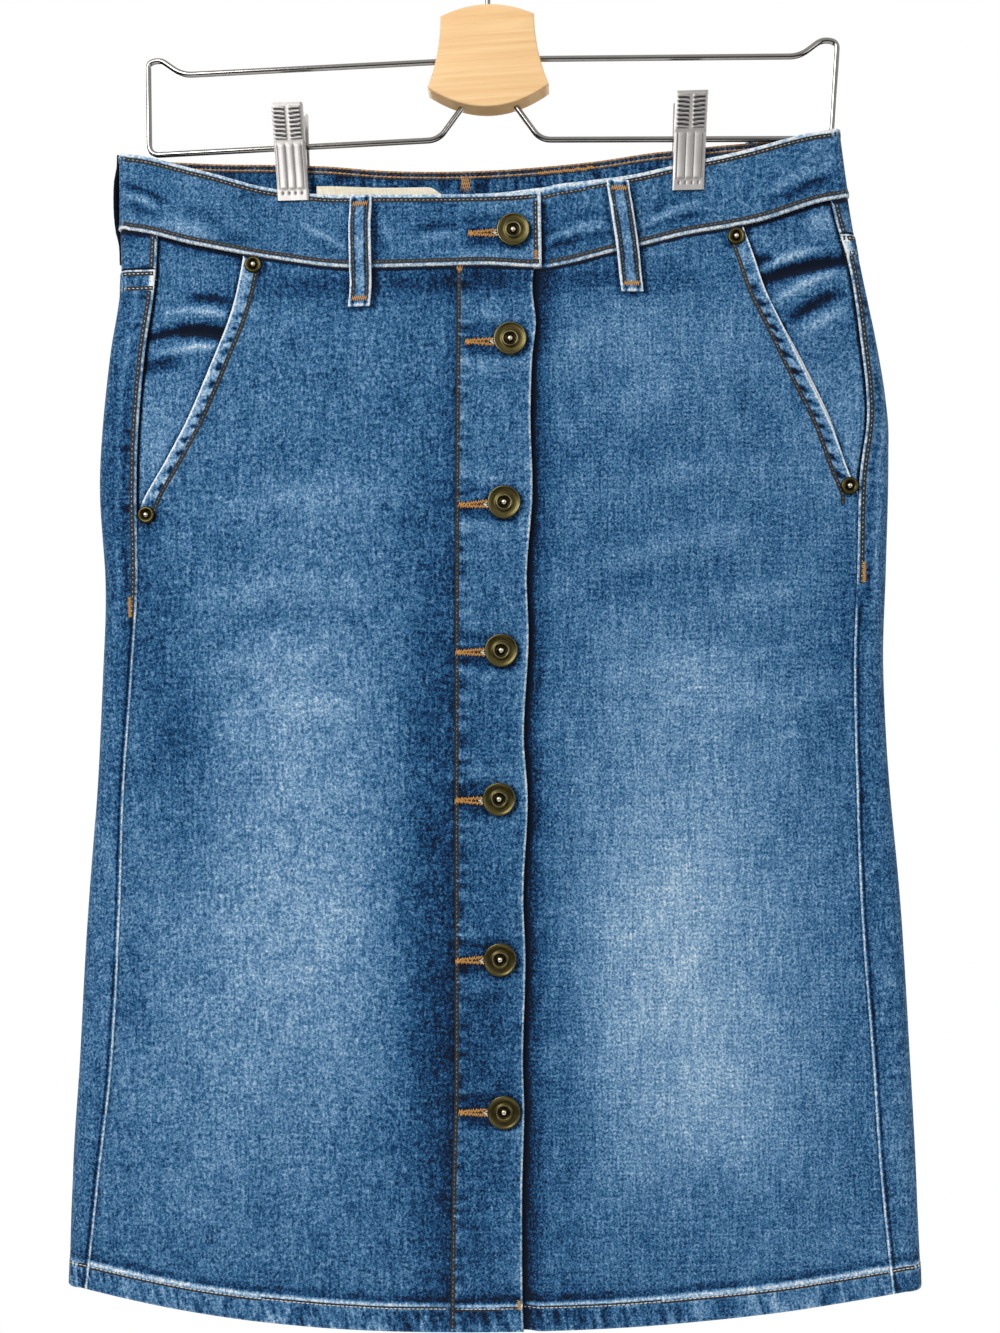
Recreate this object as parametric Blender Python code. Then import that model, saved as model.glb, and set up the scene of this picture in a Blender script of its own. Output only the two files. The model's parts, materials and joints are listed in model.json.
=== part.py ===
"""A button-front denim skirt, knee length, clipped to a wire and wood skirt hanger.

Metres, +Z up, +X to the viewer's right, and the front faces -Y. The origin is the inside top of the
hanger's hook, where a rail carries it, so heights are given as drops below the hook, in millimetres.

The cloth is one flattened tube. A spot on it is (around, drop): around runs -1 to 1 across the front
from left to right, 1 to 2 round the right fold, 2 to 4 across the back from right to left, and 4 to 5
round the left fold. Every piece of cloth is a wall through such spots, between two lifts off the tube.
"""

import math
from collections import namedtuple

import bmesh
import bpy
from mathutils import Matrix, Vector

MM = 0.001

# The tube. Each row is a level section: its drop, the x of both folded sides, how far the side seams lie
# in front of the folds, how deep the front and the back stand off the middle plane, and the fold radius.
Level = namedtuple("Level", "drop left right left_inset right_inset front back fold")
LEVELS = (
    Level(130, -205.0, 189.5, 21, 10, 8.0, 8, 5.0),
    Level(178, -205.5, 195.5, 22, 10, 9.0, 10, 5.5),
    Level(212, -206.0, 201.5, 20.5, 7.3, 10.5, 13, 6.0),
    Level(248, -212.0, 208.5, 21, 9.5, 12.5, 16, 7.0),
    Level(290, -217.0, 214.5, 22, 12.3, 14.0, 20, 8.0),
    Level(325, -219.0, 214.5, 22.5, 16.8, 15.0, 21, 8.0),
    Level(376, -216.5, 212.5, 20, 16.8, 15.0, 21, 8.0),
    Level(425, -218.5, 210.5, 18.5, 17.2, 15.0, 20, 8.0),
    Level(490, -222.5, 213.0, 17, 19.3, 15.0, 19, 8.0),
    Level(560, -229.0, 218.5, 20.3, 23.2, 15.0, 18, 8.0),
    Level(640, -234.5, 222.0, 20.5, 21.8, 15.5, 18, 8.5),
    Level(700, -239.0, 224.5, 17.5, 21, 16.0, 18, 9.0),
    Level(790, -243.0, 227.0, 10.5, 15.5, 16.0, 18, 9.0),
)

# The waistband's edges, a row for each place around.
Waist = namedtuple("Waist", "around top seam")
WAIST = (
    Waist(-1.50, 139.0, 180.5),
    Waist(-1.00, 139.0, 181.2),
    Waist(-0.80, 148.5, 190.6),
    Waist(-0.60, 158.8, 198.2),
    Waist(-0.36, 164.8, 205.3),
    Waist(0.00, 167.2, 206.4),
    Waist(0.18, 165.9, 208.0),
    Waist(0.37, 160.2, 199.7),
    Waist(0.56, 152.3, 190.9),
    Waist(0.77, 145.2, 184.9),
    Waist(1.00, 136.5, 174.0),
    Waist(2.00, 136.5, 174.5),
    Waist(2.45, 143.0, 180.5),
    Waist(3.00, 149.0, 186.0),
    Waist(3.55, 145.0, 183.5),
    Waist(4.00, 139.5, 180.5),
    Waist(4.50, 139.0, 180.5),
)
HEM_DROP = 783.0
HEM_RISE_AT_SIDES = 20.0
HEM_POWER = 2.4
HEM_TILT = 3.5
YOKE_AT_LEFT, YOKE_AT_RIGHT, YOKE_AT_CENTRE = 203.0, 193.0, 246.0
CENTRE_FRONT, CENTRE_BACK, WHOLE_TURN = 0.0, 3.0, 6.0
FIRST_PLACE = -1.5

# Cloth and seams.
CLOTH = 1.2
BAND_CLOTH = 2.2
BAND_RISE = 0.6
BAND_PAST_FOLD = 0.06
SEAM_GAP = 0.3
TURN_UP = 12.0
BULGE_POWER = 1.5
FOLD_MARGIN = 0.05

# The button placket: the left front laps over the right front.
PLACKET_WIDTH = 41.0
PLACKET_EDGE_AT_SEAM = 24.5
PLACKET_EDGE_AT_HEM = 11.0
PLACKET_CLOTH = 2.0
PLACKET_RISE = 0.4
BAND_LAP_END = 28.0
UNDERLAP = 36.0
UNDERLAP_DEPTH = 2.5
UNDERLAP_RISES = (1.0, 4.0, 7.0, 10.0)

# The slanted pocket mouths, at the side seams below the waistband.
# How far in from the side seam each mouth runs.
Mouth = namedtuple("Mouth", "drop width")
POCKET_END = 341.0
MOUTH_LEFT = (
    Mouth(193.0, 48.3),
    Mouth(201.0, 47.6),
    Mouth(234.0, 44.0),
    Mouth(258.0, 37.4),
    Mouth(287.0, 27.1),
    Mouth(309.0, 16.2),
    Mouth(330.0, 4.1),
    Mouth(POCKET_END, 0.0),
)
MOUTH_RIGHT = (
    Mouth(190.0, 49.9),
    Mouth(220.0, 47.6),
    Mouth(244.5, 39.8),
    Mouth(278.5, 27.4),
    Mouth(310.5, 11.8),
    Mouth(334.0, 0.0),
)
FACING_LIFT = -2.3
FACING_UNDERLAP = 14.0
FACING_BELOW = 8.0
# Creases pressed across the facings: the drop where each meets the side seam, its slope inward,
# its depth and its half width.
Crease = namedtuple("Crease", "side drop slope depth reach")
CREASES = (
    Crease("left", 236.0, 0.04, 2.6, 5.0),
    Crease("left", 219.0, 0.02, 1.4, 4.5),
    Crease("right", 205.0, 0.22, 2.6, 5.0),
    Crease("right", 221.0, 0.26, 1.8, 4.5),
    Crease("right", 192.0, 0.25, 1.2, 4.5),
)
FACING_ROWS = 22
LINING_LIFT = -1.65
LINING_CLOTH = 0.5
LINING_SHOWS = 2.0
LINING_WIDTH = 9.0
LINING_DROPS = (238.0, 306.0)

# Belt loops.
LOOP_WIDTH = 12.0
LOOP_LENGTH = 61.0
LOOP_CLOTH = 1.8
LOOP_COLUMNS = 4
Rise = namedtuple("Rise", "along lift")
LOOP_RISE = (
    Rise(0.00, 1.0),
    Rise(0.10, 1.2),
    Rise(0.25, 3.0),
    Rise(0.50, 3.4),
    Rise(0.68, 2.4),
    Rise(0.82, 0.5),
    Rise(1.00, 0.4),
)
Loop = namedtuple("Loop", "name around above_band lean")
LOOPS = (
    Loop("belt_loop_front_left", -0.331, -1.1, -0.018),
    Loop("belt_loop_front_right", 0.389, -1.9, 0.006),
    Loop("belt_loop_side_right", 2.20, 2.0, 0.0),
    Loop("belt_loop_back", 3.0, 2.0, 0.0),
    Loop("belt_loop_side_left", 4.10, 2.0, 0.0),
)

# The blank label inside the back waistband.
LABEL_LEFT, LABEL_RIGHT = -96.0, -25.0
LABEL_TOP, LABEL_BOTTOM = 157.6, 177.0
LABEL_CLOTH = 0.5

# Buttons: the drop of each, and how far it lies from the placket's edge.
Button = namedtuple("Button", "drop from_edge")
BUTTONS = (
    Button(188.0, 15.2),
    Button(247.5, 13.0),
    Button(335.9, 15.3),
    Button(415.6, 16.0),
    Button(495.6, 16.3),
    Button(581.9, 14.9),
    Button(663.8, 11.9),
)
Turned = namedtuple("Turned", "radius height")
BUTTON_PROFILE = (
    Turned(0.0, 3.3),
    Turned(1.9, 3.1),
    Turned(3.6, 2.0),
    Turned(7.2, 2.3),
    Turned(8.4, 2.7),
    Turned(9.0, 1.9),
    Turned(8.6, 1.1),
    Turned(4.0, 0.8),
    Turned(4.0, 0.0),
)
RIVET_PROFILE = (
    Turned(0.0, 2.2),
    Turned(1.6, 2.0),
    Turned(2.3, 0.9),
    Turned(4.2, 1.2),
    Turned(4.8, 0.5),
    Turned(4.8, 0.0),
)
BUTTON_SIDES, RIVET_SIDES = 16, 12
TRIM_GAP = 0.6
Rivet = namedtuple("Rivet", "name side drop from_mouth")
RIVETS = (
    Rivet("rivet_left_top", "left", 201.5, 6.3),
    Rivet("rivet_left_bottom", "left", 338.5, 4.9),
    Rivet("rivet_right_top", "right", 192.5, 5.5),
    Rivet("rivet_right_bottom", "right", 329.5, 3.1),
)

# The hanger.
WIRE_RADIUS = 1.6
WIRE_SIDES_RESOLUTION = 2
HOOK_INNER_RADIUS = 20.0
HOOK_NECK_RADIUS = 15.0
HOOK_TIP_ANGLE = 200.0
BLOCK_TOP, BLOCK_SHOULDER, BLOCK_CORNER, BLOCK_BOTTOM = 63.2, 69.2, 107.8, 119.0
BLOCK_TOP_HALF, BLOCK_BOTTOM_HALF = 25.6, 33.2
BLOCK_SIDE_HOLLOW = 1.9
BLOCK_THICK = 15.0
BLOCK_EDGE = 0.8
BAR_TOP_AT_BLOCK, BAR_TOP_AT_END = 91.0, 94.0
BAR_BOTTOM_AT_BLOCK, BAR_BOTTOM_AT_END = 134.0, 138.0
SHOULDER_DROP = 85.3
BAR_TOP_END, SHOULDER_X, BAR_BOTTOM_END = 170.0, 182.0, 183.0
# The arms aren't bent quite alike: how far out each post stands, and how low its lower bar lies.
Arm = namedtuple("Arm", "side sign post_top post_foot lower_by")
ARMS = (
    Arm("left", -1.0, 189.0, 189.0, 0.0),
    Arm("right", 1.0, 190.2, 186.3, 1.4),
)
DIAGONAL_FOOT, DIAGONAL_HEAD = 28.0, 14.9
DIAGONAL_HEAD_DROP = 118.3
BEND_RADIUS = 6.0
CLIP_X_TOP, CLIP_X_BOTTOM = 110.4, 108.0
CLIP_TOP, CLIP_BOTTOM = 114.8, 166.7
CLIP_WIDTH = 17.5
CLIP_SHEET = 1.6
CLIP_FLANGE = 2.4
Jaw = namedtuple("Jaw", "drop depth")
JAW = (
    Jaw(CLIP_TOP, 9.5),
    Jaw(128.0, 7.6),
    Jaw(142.0, 5.6),
    Jaw(153.5, 4.4),
    Jaw(CLIP_BOTTOM, 4.1),
)
PINCH_DEPTH = 2.8
PINCH_FLAT = 13.0
PINCH_REACH = 24.0
PINCH_FROM, PINCH_TO = 168.0, 265.0
SPRING_OUTER, SPRING_INNER, SPRING_LENGTH = 3.4, 2.0, 11.0
SPRING_SIDES = 12


def clear_scene():
    for old in list(bpy.data.objects):
        bpy.data.objects.remove(old, do_unlink=True)


def material(name, colour, roughness, metallic=0.0):
    made = bpy.data.materials.get(name) or bpy.data.materials.new(name)
    made.use_nodes = True
    shader = made.node_tree.nodes["Principled BSDF"]
    shader.inputs["Base Color"].default_value = (*colour, 1.0)
    shader.inputs["Roughness"].default_value = roughness
    shader.inputs["Metallic"].default_value = metallic
    made.diffuse_color = (*colour, 1.0)
    return made


def denim(name):
    return material(name, (0.11, 0.23, 0.42), 0.85)


def smoothstep(start, end, value):
    share = min(max((value - start) / (end - start), 0.0), 1.0)
    return share * share * (3.0 - 2.0 * share)


def between(start, end, share):
    return start + (end - start) * share


def through(rows, key, column, where):
    """A column's value at a place, on a smooth curve through the rows."""
    keys = [getattr(row, key) for row in rows]
    values = [getattr(row, column) for row in rows]
    where = min(max(where, keys[0]), keys[-1])
    index = max(i for i in range(len(keys) - 1) if keys[i] <= where or i == 0)

    def slope(i):
        before, after = max(i - 1, 0), min(i + 1, len(keys) - 1)
        return (values[after] - values[before]) / (keys[after] - keys[before])

    span = keys[index + 1] - keys[index]
    t = (where - keys[index]) / span
    rise = values[index + 1] - values[index]
    bend_in = slope(index) * span - rise
    bend_out = rise - slope(index + 1) * span
    return values[index] + t * rise + t * (1 - t) * (bend_in * (1 - t) + bend_out * t)


def level(column, drop):
    return through(LEVELS, "drop", column, drop)


def wrapped(around):
    """The same place with around from -1.5 up to 4.5, so that the table's rows enclose it."""
    return (around - FIRST_PLACE) % WHOLE_TURN + FIRST_PLACE


def waist_top(around):
    return through(WAIST, "around", "top", wrapped(around))


def waist_seam(around):
    return through(WAIST, "around", "seam", wrapped(around))


def across(around):
    """-1 to 1 from the left fold to the right fold, on the front and the back alike."""
    around = wrapped(around)
    if around <= 1.0:
        return max(around, -1.0)
    return 1.0 if around <= 2.0 else max(CENTRE_BACK - around, -1.0)


def hem(around):
    """The hem curves up to the sides, and hangs a little lower on the left."""
    share = across(around)
    tilt = HEM_TILT * share * (1.0 - share * share)
    return HEM_DROP - HEM_RISE_AT_SIDES * abs(share) ** HEM_POWER - tilt


def yoke_seam(around):
    at_side = YOKE_AT_LEFT if across(around) < 0 else YOKE_AT_RIGHT
    on_front = wrapped(around) <= 1.0
    share = 0.0 if on_front else 1.0 - abs(across(around))
    return between(at_side, YOKE_AT_CENTRE, share)


def flat_half(drop):
    return (level("right", drop) - level("left", drop)) / 2 - level("fold", drop)


def middle(drop):
    return (level("right", drop) + level("left", drop)) / 2


def pinch(x, drop):
    """How far the clips press front and back together here, from 0 to 1."""
    off_clip = max(abs(abs(x) - CLIP_X_BOTTOM) - PINCH_FLAT, 0.0) / PINCH_REACH
    return math.exp(-off_clip * off_clip) * (1.0 - smoothstep(PINCH_FROM, PINCH_TO, drop))


def tube(around, drop):
    """The point of the tube at a spot, in millimetres."""
    around = wrapped(around)
    half, fold, centre = flat_half(drop), level("fold", drop), middle(drop)
    if 1.0 < around < 2.0:
        angle = (around - 1.0) * math.pi
        return Vector((centre + half + fold * math.sin(angle), -fold * math.cos(angle), -drop))
    if around < -1.0 or around > 4.0:
        angle = ((around + WHOLE_TURN if around < -1.0 else around) - 4.0) * math.pi
        return Vector((centre - half - fold * math.sin(angle), fold * math.cos(angle), -drop))
    side = around if around <= 1.0 else CENTRE_BACK - around
    x = centre + side * half
    deep = level("front" if around <= 1.0 else "back", drop)
    depth = fold + (deep - fold) * max(1.0 - side * side, 0.0) ** BULGE_POWER
    depth = between(depth, PINCH_DEPTH, pinch(x, drop))
    return Vector((x, -depth if around <= 1.0 else depth, -drop))


def outward(around, drop):
    step_round, step_down = 0.01, 1.0
    along = tube(around + step_round, drop) - tube(around - step_round, drop)
    down = tube(around, drop + step_down) - tube(around, drop - step_down)
    return along.cross(-down).normalized()


def lifted(around, drop, lift):
    return (tube(around, drop) + outward(around, drop) * lift) * MM


def around_at(x, drop):
    """The front spot at this x, on the flat or on the front half of a fold."""
    side = (x - middle(drop)) / flat_half(drop)
    if abs(side) <= 1.0:
        return side
    past = (abs(side) - 1.0) * flat_half(drop) / level("fold", drop)
    return math.copysign(1.0 + math.asin(min(past, 1.0)) / math.pi, side)


def around_at_back(x, drop):
    return CENTRE_BACK - (x - middle(drop)) / flat_half(drop)


def moved_round(around, drop, distance):
    """The spot this many millimetres further round the tube."""
    steps, ahead = 24, 0.005
    for _ in range(steps):
        pace = (tube(around + ahead, drop) - tube(around, drop)).length / ahead
        around += distance / steps / pace
    return around


def seam_at_left(drop):
    return around_at(level("left", drop) + level("left_inset", drop), drop)


def seam_at_right(drop):
    return around_at(level("right", drop) - level("right_inset", drop), drop)


def placket_edge_x(drop):
    share = (drop - waist_seam(CENTRE_FRONT)) / (HEM_DROP - waist_seam(CENTRE_FRONT))
    return between(PLACKET_EDGE_AT_SEAM, PLACKET_EDGE_AT_HEM, share)


def placket_edge(drop):
    return around_at(placket_edge_x(drop), drop)


def placket_line(drop):
    return around_at(placket_edge_x(drop) - PLACKET_WIDTH, drop)


def mouth_at_left(drop):
    width = through(MOUTH_LEFT, "drop", "width", drop)
    return around_at(level("left", drop) + level("left_inset", drop) + width, drop)


def mouth_at_right(drop):
    width = through(MOUTH_RIGHT, "drop", "width", drop)
    return around_at(level("right", drop) - level("right_inset", drop) - width, drop)


def under_lap(around, drop):
    """The lift of the right front where the left front laps over it."""
    edge = BAND_LAP_END if drop < waist_seam(around) else placket_edge_x(drop)
    past = tube(around, drop).x - edge
    return -UNDERLAP_DEPTH * (1.0 - smoothstep(UNDERLAP_RISES[0], UNDERLAP_RISES[-1], past))


def level_lift(around, drop):
    return 0.0


def moved_in(around, distance, drop):
    """Keeps half a seam's gap: a distance along x, as a change of around."""
    return around + distance / flat_half(drop)


def columns(left, right, count):
    """The places around, at a drop, of this many equal columns between two edges."""
    return lambda drop: [between(left(drop), right(drop), share) for share in even(count)]


def spots(stations, top, bottom, shares):
    """Rows of spots, a column for each station and a row for each share of the way down."""
    rows = []
    for share in shares:
        row = []
        for column in range(len(stations(top(CENTRE_FRONT)))):
            drop = between(top(CENTRE_FRONT), bottom(CENTRE_FRONT), share)
            for _ in range(8):
                around = stations(drop)[column]
                drop = between(top(around), bottom(around), share)
            row.append((around, drop))
        rows.append(row)
    return rows


def even(count):
    return [i / count for i in range(count + 1)]


def wall(name, rows, outer, thick, made_of, ease=level_lift):
    """A closed wall of cloth through rows of spots, its outer face at this lift."""
    mesh = bpy.data.meshes.new(name)
    shell = bmesh.new()
    faces = []
    for lift in (outer, outer - thick):
        faces.append([[shell.verts.new(lifted(a, d, lift + ease(a, d))) for a, d in row] for row in rows])
    out, back = faces
    height, width = len(rows) - 1, len(rows[0]) - 1
    for i in range(height):
        for j in range(width):
            shell.faces.new((out[i][j], out[i + 1][j], out[i + 1][j + 1], out[i][j + 1]))
            shell.faces.new((back[i][j], back[i][j + 1], back[i + 1][j + 1], back[i + 1][j]))
    for j in range(width):
        shell.faces.new((out[0][j], out[0][j + 1], back[0][j + 1], back[0][j]))
        shell.faces.new((out[-1][j + 1], out[-1][j], back[-1][j], back[-1][j + 1]))
    for i in range(height):
        shell.faces.new((out[i + 1][0], out[i][0], back[i][0], back[i + 1][0]))
        shell.faces.new((out[i][-1], out[i + 1][-1], back[i + 1][-1], back[i][-1]))
    bmesh.ops.recalc_face_normals(shell, faces=shell.faces)
    shell.to_mesh(mesh)
    shell.free()
    return add(name, mesh, made_of)


def add(name, mesh, made_of):
    made = bpy.data.objects.new(name, mesh)
    bpy.context.scene.collection.objects.link(made)
    mesh.materials.append(made_of)
    mesh.shade_smooth()
    mesh.set_sharp_from_angle(angle=math.radians(40))
    return made


def below(edge, gap=SEAM_GAP):
    return lambda around: edge(around) + gap / 2


def above(edge, gap=SEAM_GAP):
    return lambda around: edge(around) - gap / 2


def right_of(edge, gap=SEAM_GAP):
    return lambda drop: moved_in(edge(drop), gap / 2, drop)


def left_of(edge, gap=SEAM_GAP):
    return lambda drop: moved_in(edge(drop), -gap / 2, drop)


def pocket_line(around):
    return POCKET_END


def ramp_stations(edge_x, last, count):
    """Stations of a front that goes under a lap, rises past its edge, and runs on to its last edge."""
    def stations(drop):
        edge = edge_x(drop)
        under = [around_at(edge - UNDERLAP + UNDERLAP * share, drop) for share in even(2)]
        rise = [around_at(edge + past, drop) for past in UNDERLAP_RISES]
        rest = [between(rise[-1], last(drop), share) for share in even(count)]
        return under + rise + rest[1:]

    return stations


def make_fronts():
    """Two fronts with slanted pocket mouths, and the placket that laps them."""
    def front(name, stations, ease=level_lift):
        high = spots(stations, below(waist_seam), pocket_line, even(5))
        low = spots(stations, pocket_line, hem, even(11))
        wall(name, high + low[1:], 0.0, CLOTH, denim("front denim"), ease)

    front("front_panel_left", columns(right_of(mouth_at_left), left_of(placket_line), 8))
    right = ramp_stations(placket_edge_x, left_of(mouth_at_right), 8)
    front("front_panel_right", right, under_lap)
    band = spots(columns(right_of(placket_line), placket_edge, 2), below(waist_seam), hem, even(16))
    wall("button_placket", band, PLACKET_RISE, PLACKET_CLOTH, denim("placket denim"))


def make_pockets():
    """The facing that shows in each pocket mouth, and the lining's edge on the right."""
    def end(around):
        return POCKET_END + FACING_BELOW

    def left_inner(drop):
        return moved_in(mouth_at_left(drop), FACING_UNDERLAP, drop)

    def right_inner(drop):
        return moved_in(mouth_at_right(drop), -FACING_UNDERLAP, drop)

    facing = denim("pocket facing denim")
    for side, stations, seam in (
        ("left", columns(right_of(seam_at_left), left_inner, 4), seam_at_left),
        ("right", columns(right_inner, left_of(seam_at_right), 4), seam_at_right),
    ):
        def creased(around, drop, side=side, seam=seam):
            inward = abs(tube(around, drop).x - tube(seam(drop), drop).x)
            lift = 0.0
            for crease in CREASES:
                off = (drop - crease.drop - crease.slope * inward) / crease.reach
                lift -= crease.depth * math.exp(-off * off) if crease.side == side else 0.0
            return lift

        rows = spots(stations, below(waist_seam), end, even(FACING_ROWS))
        wall(f"pocket_facing_{side}", rows, FACING_LIFT, CLOTH, facing, creased)

    def lining_outer(drop):
        return moved_in(mouth_at_right(drop), LINING_SHOWS, drop)

    def lining_inner(drop):
        return moved_in(mouth_at_right(drop), LINING_SHOWS - LINING_WIDTH, drop)

    start, stop = LINING_DROPS
    strip = spots(columns(lining_inner, lining_outer, 1), lambda _: start, lambda _: stop, even(6))
    cotton = material("lining cotton", (0.80, 0.80, 0.78), 0.9)
    wall("pocket_lining_right", strip, LINING_LIFT, LINING_CLOTH, cotton)


def wrapped_rows(seam, side, top, bottom, shares, back_steps=8, fold_steps=4):
    """Rows of spots on a back piece that wraps forward round its fold to a side seam on the front."""
    sign = -1.0 if side == "left" else 1.0
    rows = []
    for share in shares:
        guess = between(top(sign * 1.5), bottom(sign * 1.5), share)
        edge = moved_in(seam(guess), sign * SEAM_GAP / 2, guess)
        fold_start = max(abs(edge) + FOLD_MARGIN, 1.0)
        stations = [edge] + [sign * between(fold_start, 2.0, step) for step in even(fold_steps)]
        stations += [sign * (2.0 + step) for step in even(back_steps)][1:]
        stations[-1] -= sign * SEAM_GAP / 2 / flat_half(guess)
        rows.append([(a, between(top(a), bottom(a), share)) for a in stations])
    return rows


def make_back():
    """Two back panels and two yoke pieces, which meet at the centre back."""
    panel, yoke = denim("back denim"), denim("yoke denim")
    for side, seam in (("left", seam_at_left), ("right", seam_at_right)):
        rows = wrapped_rows(seam, side, below(waist_seam), above(yoke_seam), even(2))
        wall(f"back_yoke_{side}", rows, 0.0, CLOTH, yoke)
        rows = wrapped_rows(seam, side, below(yoke_seam), hem, even(13))
        wall(f"back_panel_{side}", rows, 0.0, CLOTH, panel)


def make_hems():
    """The turned-up inside of the hem, behind each panel."""
    cloth = denim("hem denim")
    lift = -CLOTH - SEAM_GAP

    def turned(around):
        return hem(around) - TURN_UP

    stations = columns(right_of(seam_at_left, 2.0), left_of(placket_line, 1.0), 10)
    front = spots(stations, turned, hem, even(1))
    wall("hem_front_left", front, lift, CLOTH, cloth)

    def past_ramp(drop):
        return around_at(placket_edge_x(drop) + UNDERLAP_RISES[-1], drop)

    front = spots(columns(past_ramp, left_of(seam_at_right, 2.0), 10), turned, hem, even(1))
    wall("hem_front_right", front, lift, CLOTH, cloth)
    for side, seam in (("left", seam_at_left), ("right", seam_at_right)):
        rows = wrapped_rows(seam, side, turned, hem, even(1))
        wall(f"hem_back_{side}", rows, lift, CLOTH, cloth)


def make_waistband():
    """A band in three lengths: the left one laps over the right one at the first button."""
    cloth = denim("waistband denim")

    def band(name, places, ease=level_lift):
        rows = [
            [(a, between(waist_top(a), above(waist_seam)(a), share)) for a in places]
            for share in even(2)
        ]
        wall(name, rows, BAND_RISE, BAND_CLOTH, cloth, ease)

    drop = waist_seam(CENTRE_FRONT)
    lap_end = around_at(BAND_LAP_END, drop)
    gap = SEAM_GAP / 2 / flat_half(drop)
    front = [between(-1.0, lap_end, share) for share in even(16)][1:]
    fold = [between(-2.0, -1.0, share) for share in even(4)]
    joint = 2.0 + BAND_PAST_FOLD
    band("waistband_left", [-joint + gap, *fold, *front])
    front = ramp_stations(lambda _: BAND_LAP_END, lambda _: 1.0, 13)(drop)
    fold = [between(1.0, 2.0, share) for share in even(4)][1:]
    band("waistband_right", [*front, *fold, joint - gap], under_lap)
    back_end = WHOLE_TURN - joint - gap
    band("waistband_back", [between(joint + gap, back_end, share) for share in even(40)])


def make_label():
    rows = [
        [
            (around_at_back(x, drop), drop)
            for x in (between(LABEL_RIGHT, LABEL_LEFT, share) for share in even(8))
        ]
        for drop in (LABEL_TOP, LABEL_BOTTOM)
    ]
    lift = BAND_RISE - BAND_CLOTH - TRIM_GAP
    wall("waistband_label", rows, lift, LABEL_CLOTH, material("label cotton", (0.84, 0.76, 0.58), 0.9))


def make_loops():
    """Belt loops: strips that stand off the band, sewn down at both ends."""
    cloth = denim("belt loop denim")
    for loop in LOOPS:
        start = waist_top(loop.around) - loop.above_band
        outer_rows = []
        for rise in LOOP_RISE:
            drop = start + rise.along * LOOP_LENGTH
            middle_spot = loop.around + loop.lean * rise.along
            places = [between(-0.5, 0.5, share) * LOOP_WIDTH for share in even(LOOP_COLUMNS)]
            outer_rows.append([(moved_round(middle_spot, drop, d), drop) for d in places])

        def rise_at(around, drop, start=start):
            return through(LOOP_RISE, "along", "lift", (drop - start) / LOOP_LENGTH)

        wall(loop.name, outer_rows, LOOP_CLOTH, LOOP_CLOTH, cloth, ease=rise_at)


def turned_piece(name, profile, sides, around, drop, lift, made_of):
    """A round piece turned from a profile, standing out from the cloth at a spot."""
    mesh = bpy.data.meshes.new(name)
    shape = bmesh.new()
    path = [shape.verts.new((row.radius * MM, 0.0, row.height * MM)) for row in profile]
    path.append(shape.verts.new((0.0, 0.0, profile[-1].height * MM)))
    edges = [shape.edges.new(pair) for pair in zip(path, path[1:])]
    bmesh.ops.spin(
        shape,
        geom=path + edges,
        axis=(0.0, 0.0, 1.0),
        cent=(0.0, 0.0, 0.0),
        steps=sides,
        angle=math.tau,
        use_merge=True,
    )
    bmesh.ops.remove_doubles(shape, verts=shape.verts, dist=0.01 * MM)
    bmesh.ops.recalc_face_normals(shape, faces=shape.faces)
    normal = outward(around, drop)
    turn = normal.to_track_quat("Z", "Y").to_matrix().to_4x4()
    shape.to_mesh(mesh)
    shape.free()
    piece = add(name, mesh, made_of)
    piece.matrix_world = Matrix.Translation(lifted(around, drop, lift)) @ turn
    return piece


def make_buttons():
    brass = material("antique brass", (0.25, 0.21, 0.10), 0.35, 1.0)
    for number, button in enumerate(BUTTONS, 1):
        first = button.drop < waist_seam(CENTRE_FRONT)
        edge = BAND_LAP_END if first else placket_edge_x(button.drop)
        around = around_at(edge - button.from_edge, button.drop)
        lift = (BAND_RISE if first else PLACKET_RISE) + TRIM_GAP
        name = f"button_{number}"
        turned_piece(name, BUTTON_PROFILE, BUTTON_SIDES, around, button.drop, lift, brass)


def make_rivets():
    brass = material("rivet brass", (0.30, 0.24, 0.12), 0.35, 1.0)
    for rivet in RIVETS:
        if rivet.side == "left":
            around = moved_in(mouth_at_left(rivet.drop), rivet.from_mouth, rivet.drop)
        else:
            around = moved_in(mouth_at_right(rivet.drop), -rivet.from_mouth, rivet.drop)
        turned_piece(rivet.name, RIVET_PROFILE, RIVET_SIDES, around, rivet.drop, TRIM_GAP, brass)


def arc(centre, radius, start, end, steps):
    """Points of an arc in the XZ plane, in millimetres, angles in degrees."""
    angles = [math.radians(between(start, end, share)) for share in even(steps)]
    return [
        Vector((centre[0] + radius * math.cos(a), 0.0, centre[1] + radius * math.sin(a)))
        for a in angles
    ]


def bulged(start, end, sagitta, steps):
    """Points of an arc from start to end that bows out by the sagitta to the right of its way."""
    start, end = Vector(start), Vector(end)
    chord = end - start
    side = Vector((chord.z, 0.0, -chord.x)).normalized()
    return [start + chord * t + side * sagitta * 4.0 * t * (1.0 - t) for t in even(steps)]


def rounded(corners, radius, steps):
    """A path with each inner corner replaced by a bend that stays inside it."""
    path = [corners[0]]
    for before, corner, after in zip(corners, corners[1:], corners[2:]):
        reach = min(radius, (before - corner).length * 0.45, (after - corner).length * 0.45)
        start = corner + (before - corner).normalized() * reach
        end = corner + (after - corner).normalized() * reach
        for t in even(steps):
            path.append(start * (1 - t) ** 2 + corner * 2 * t * (1 - t) + end * t * t)
    path.append(corners[-1])
    return path


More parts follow.
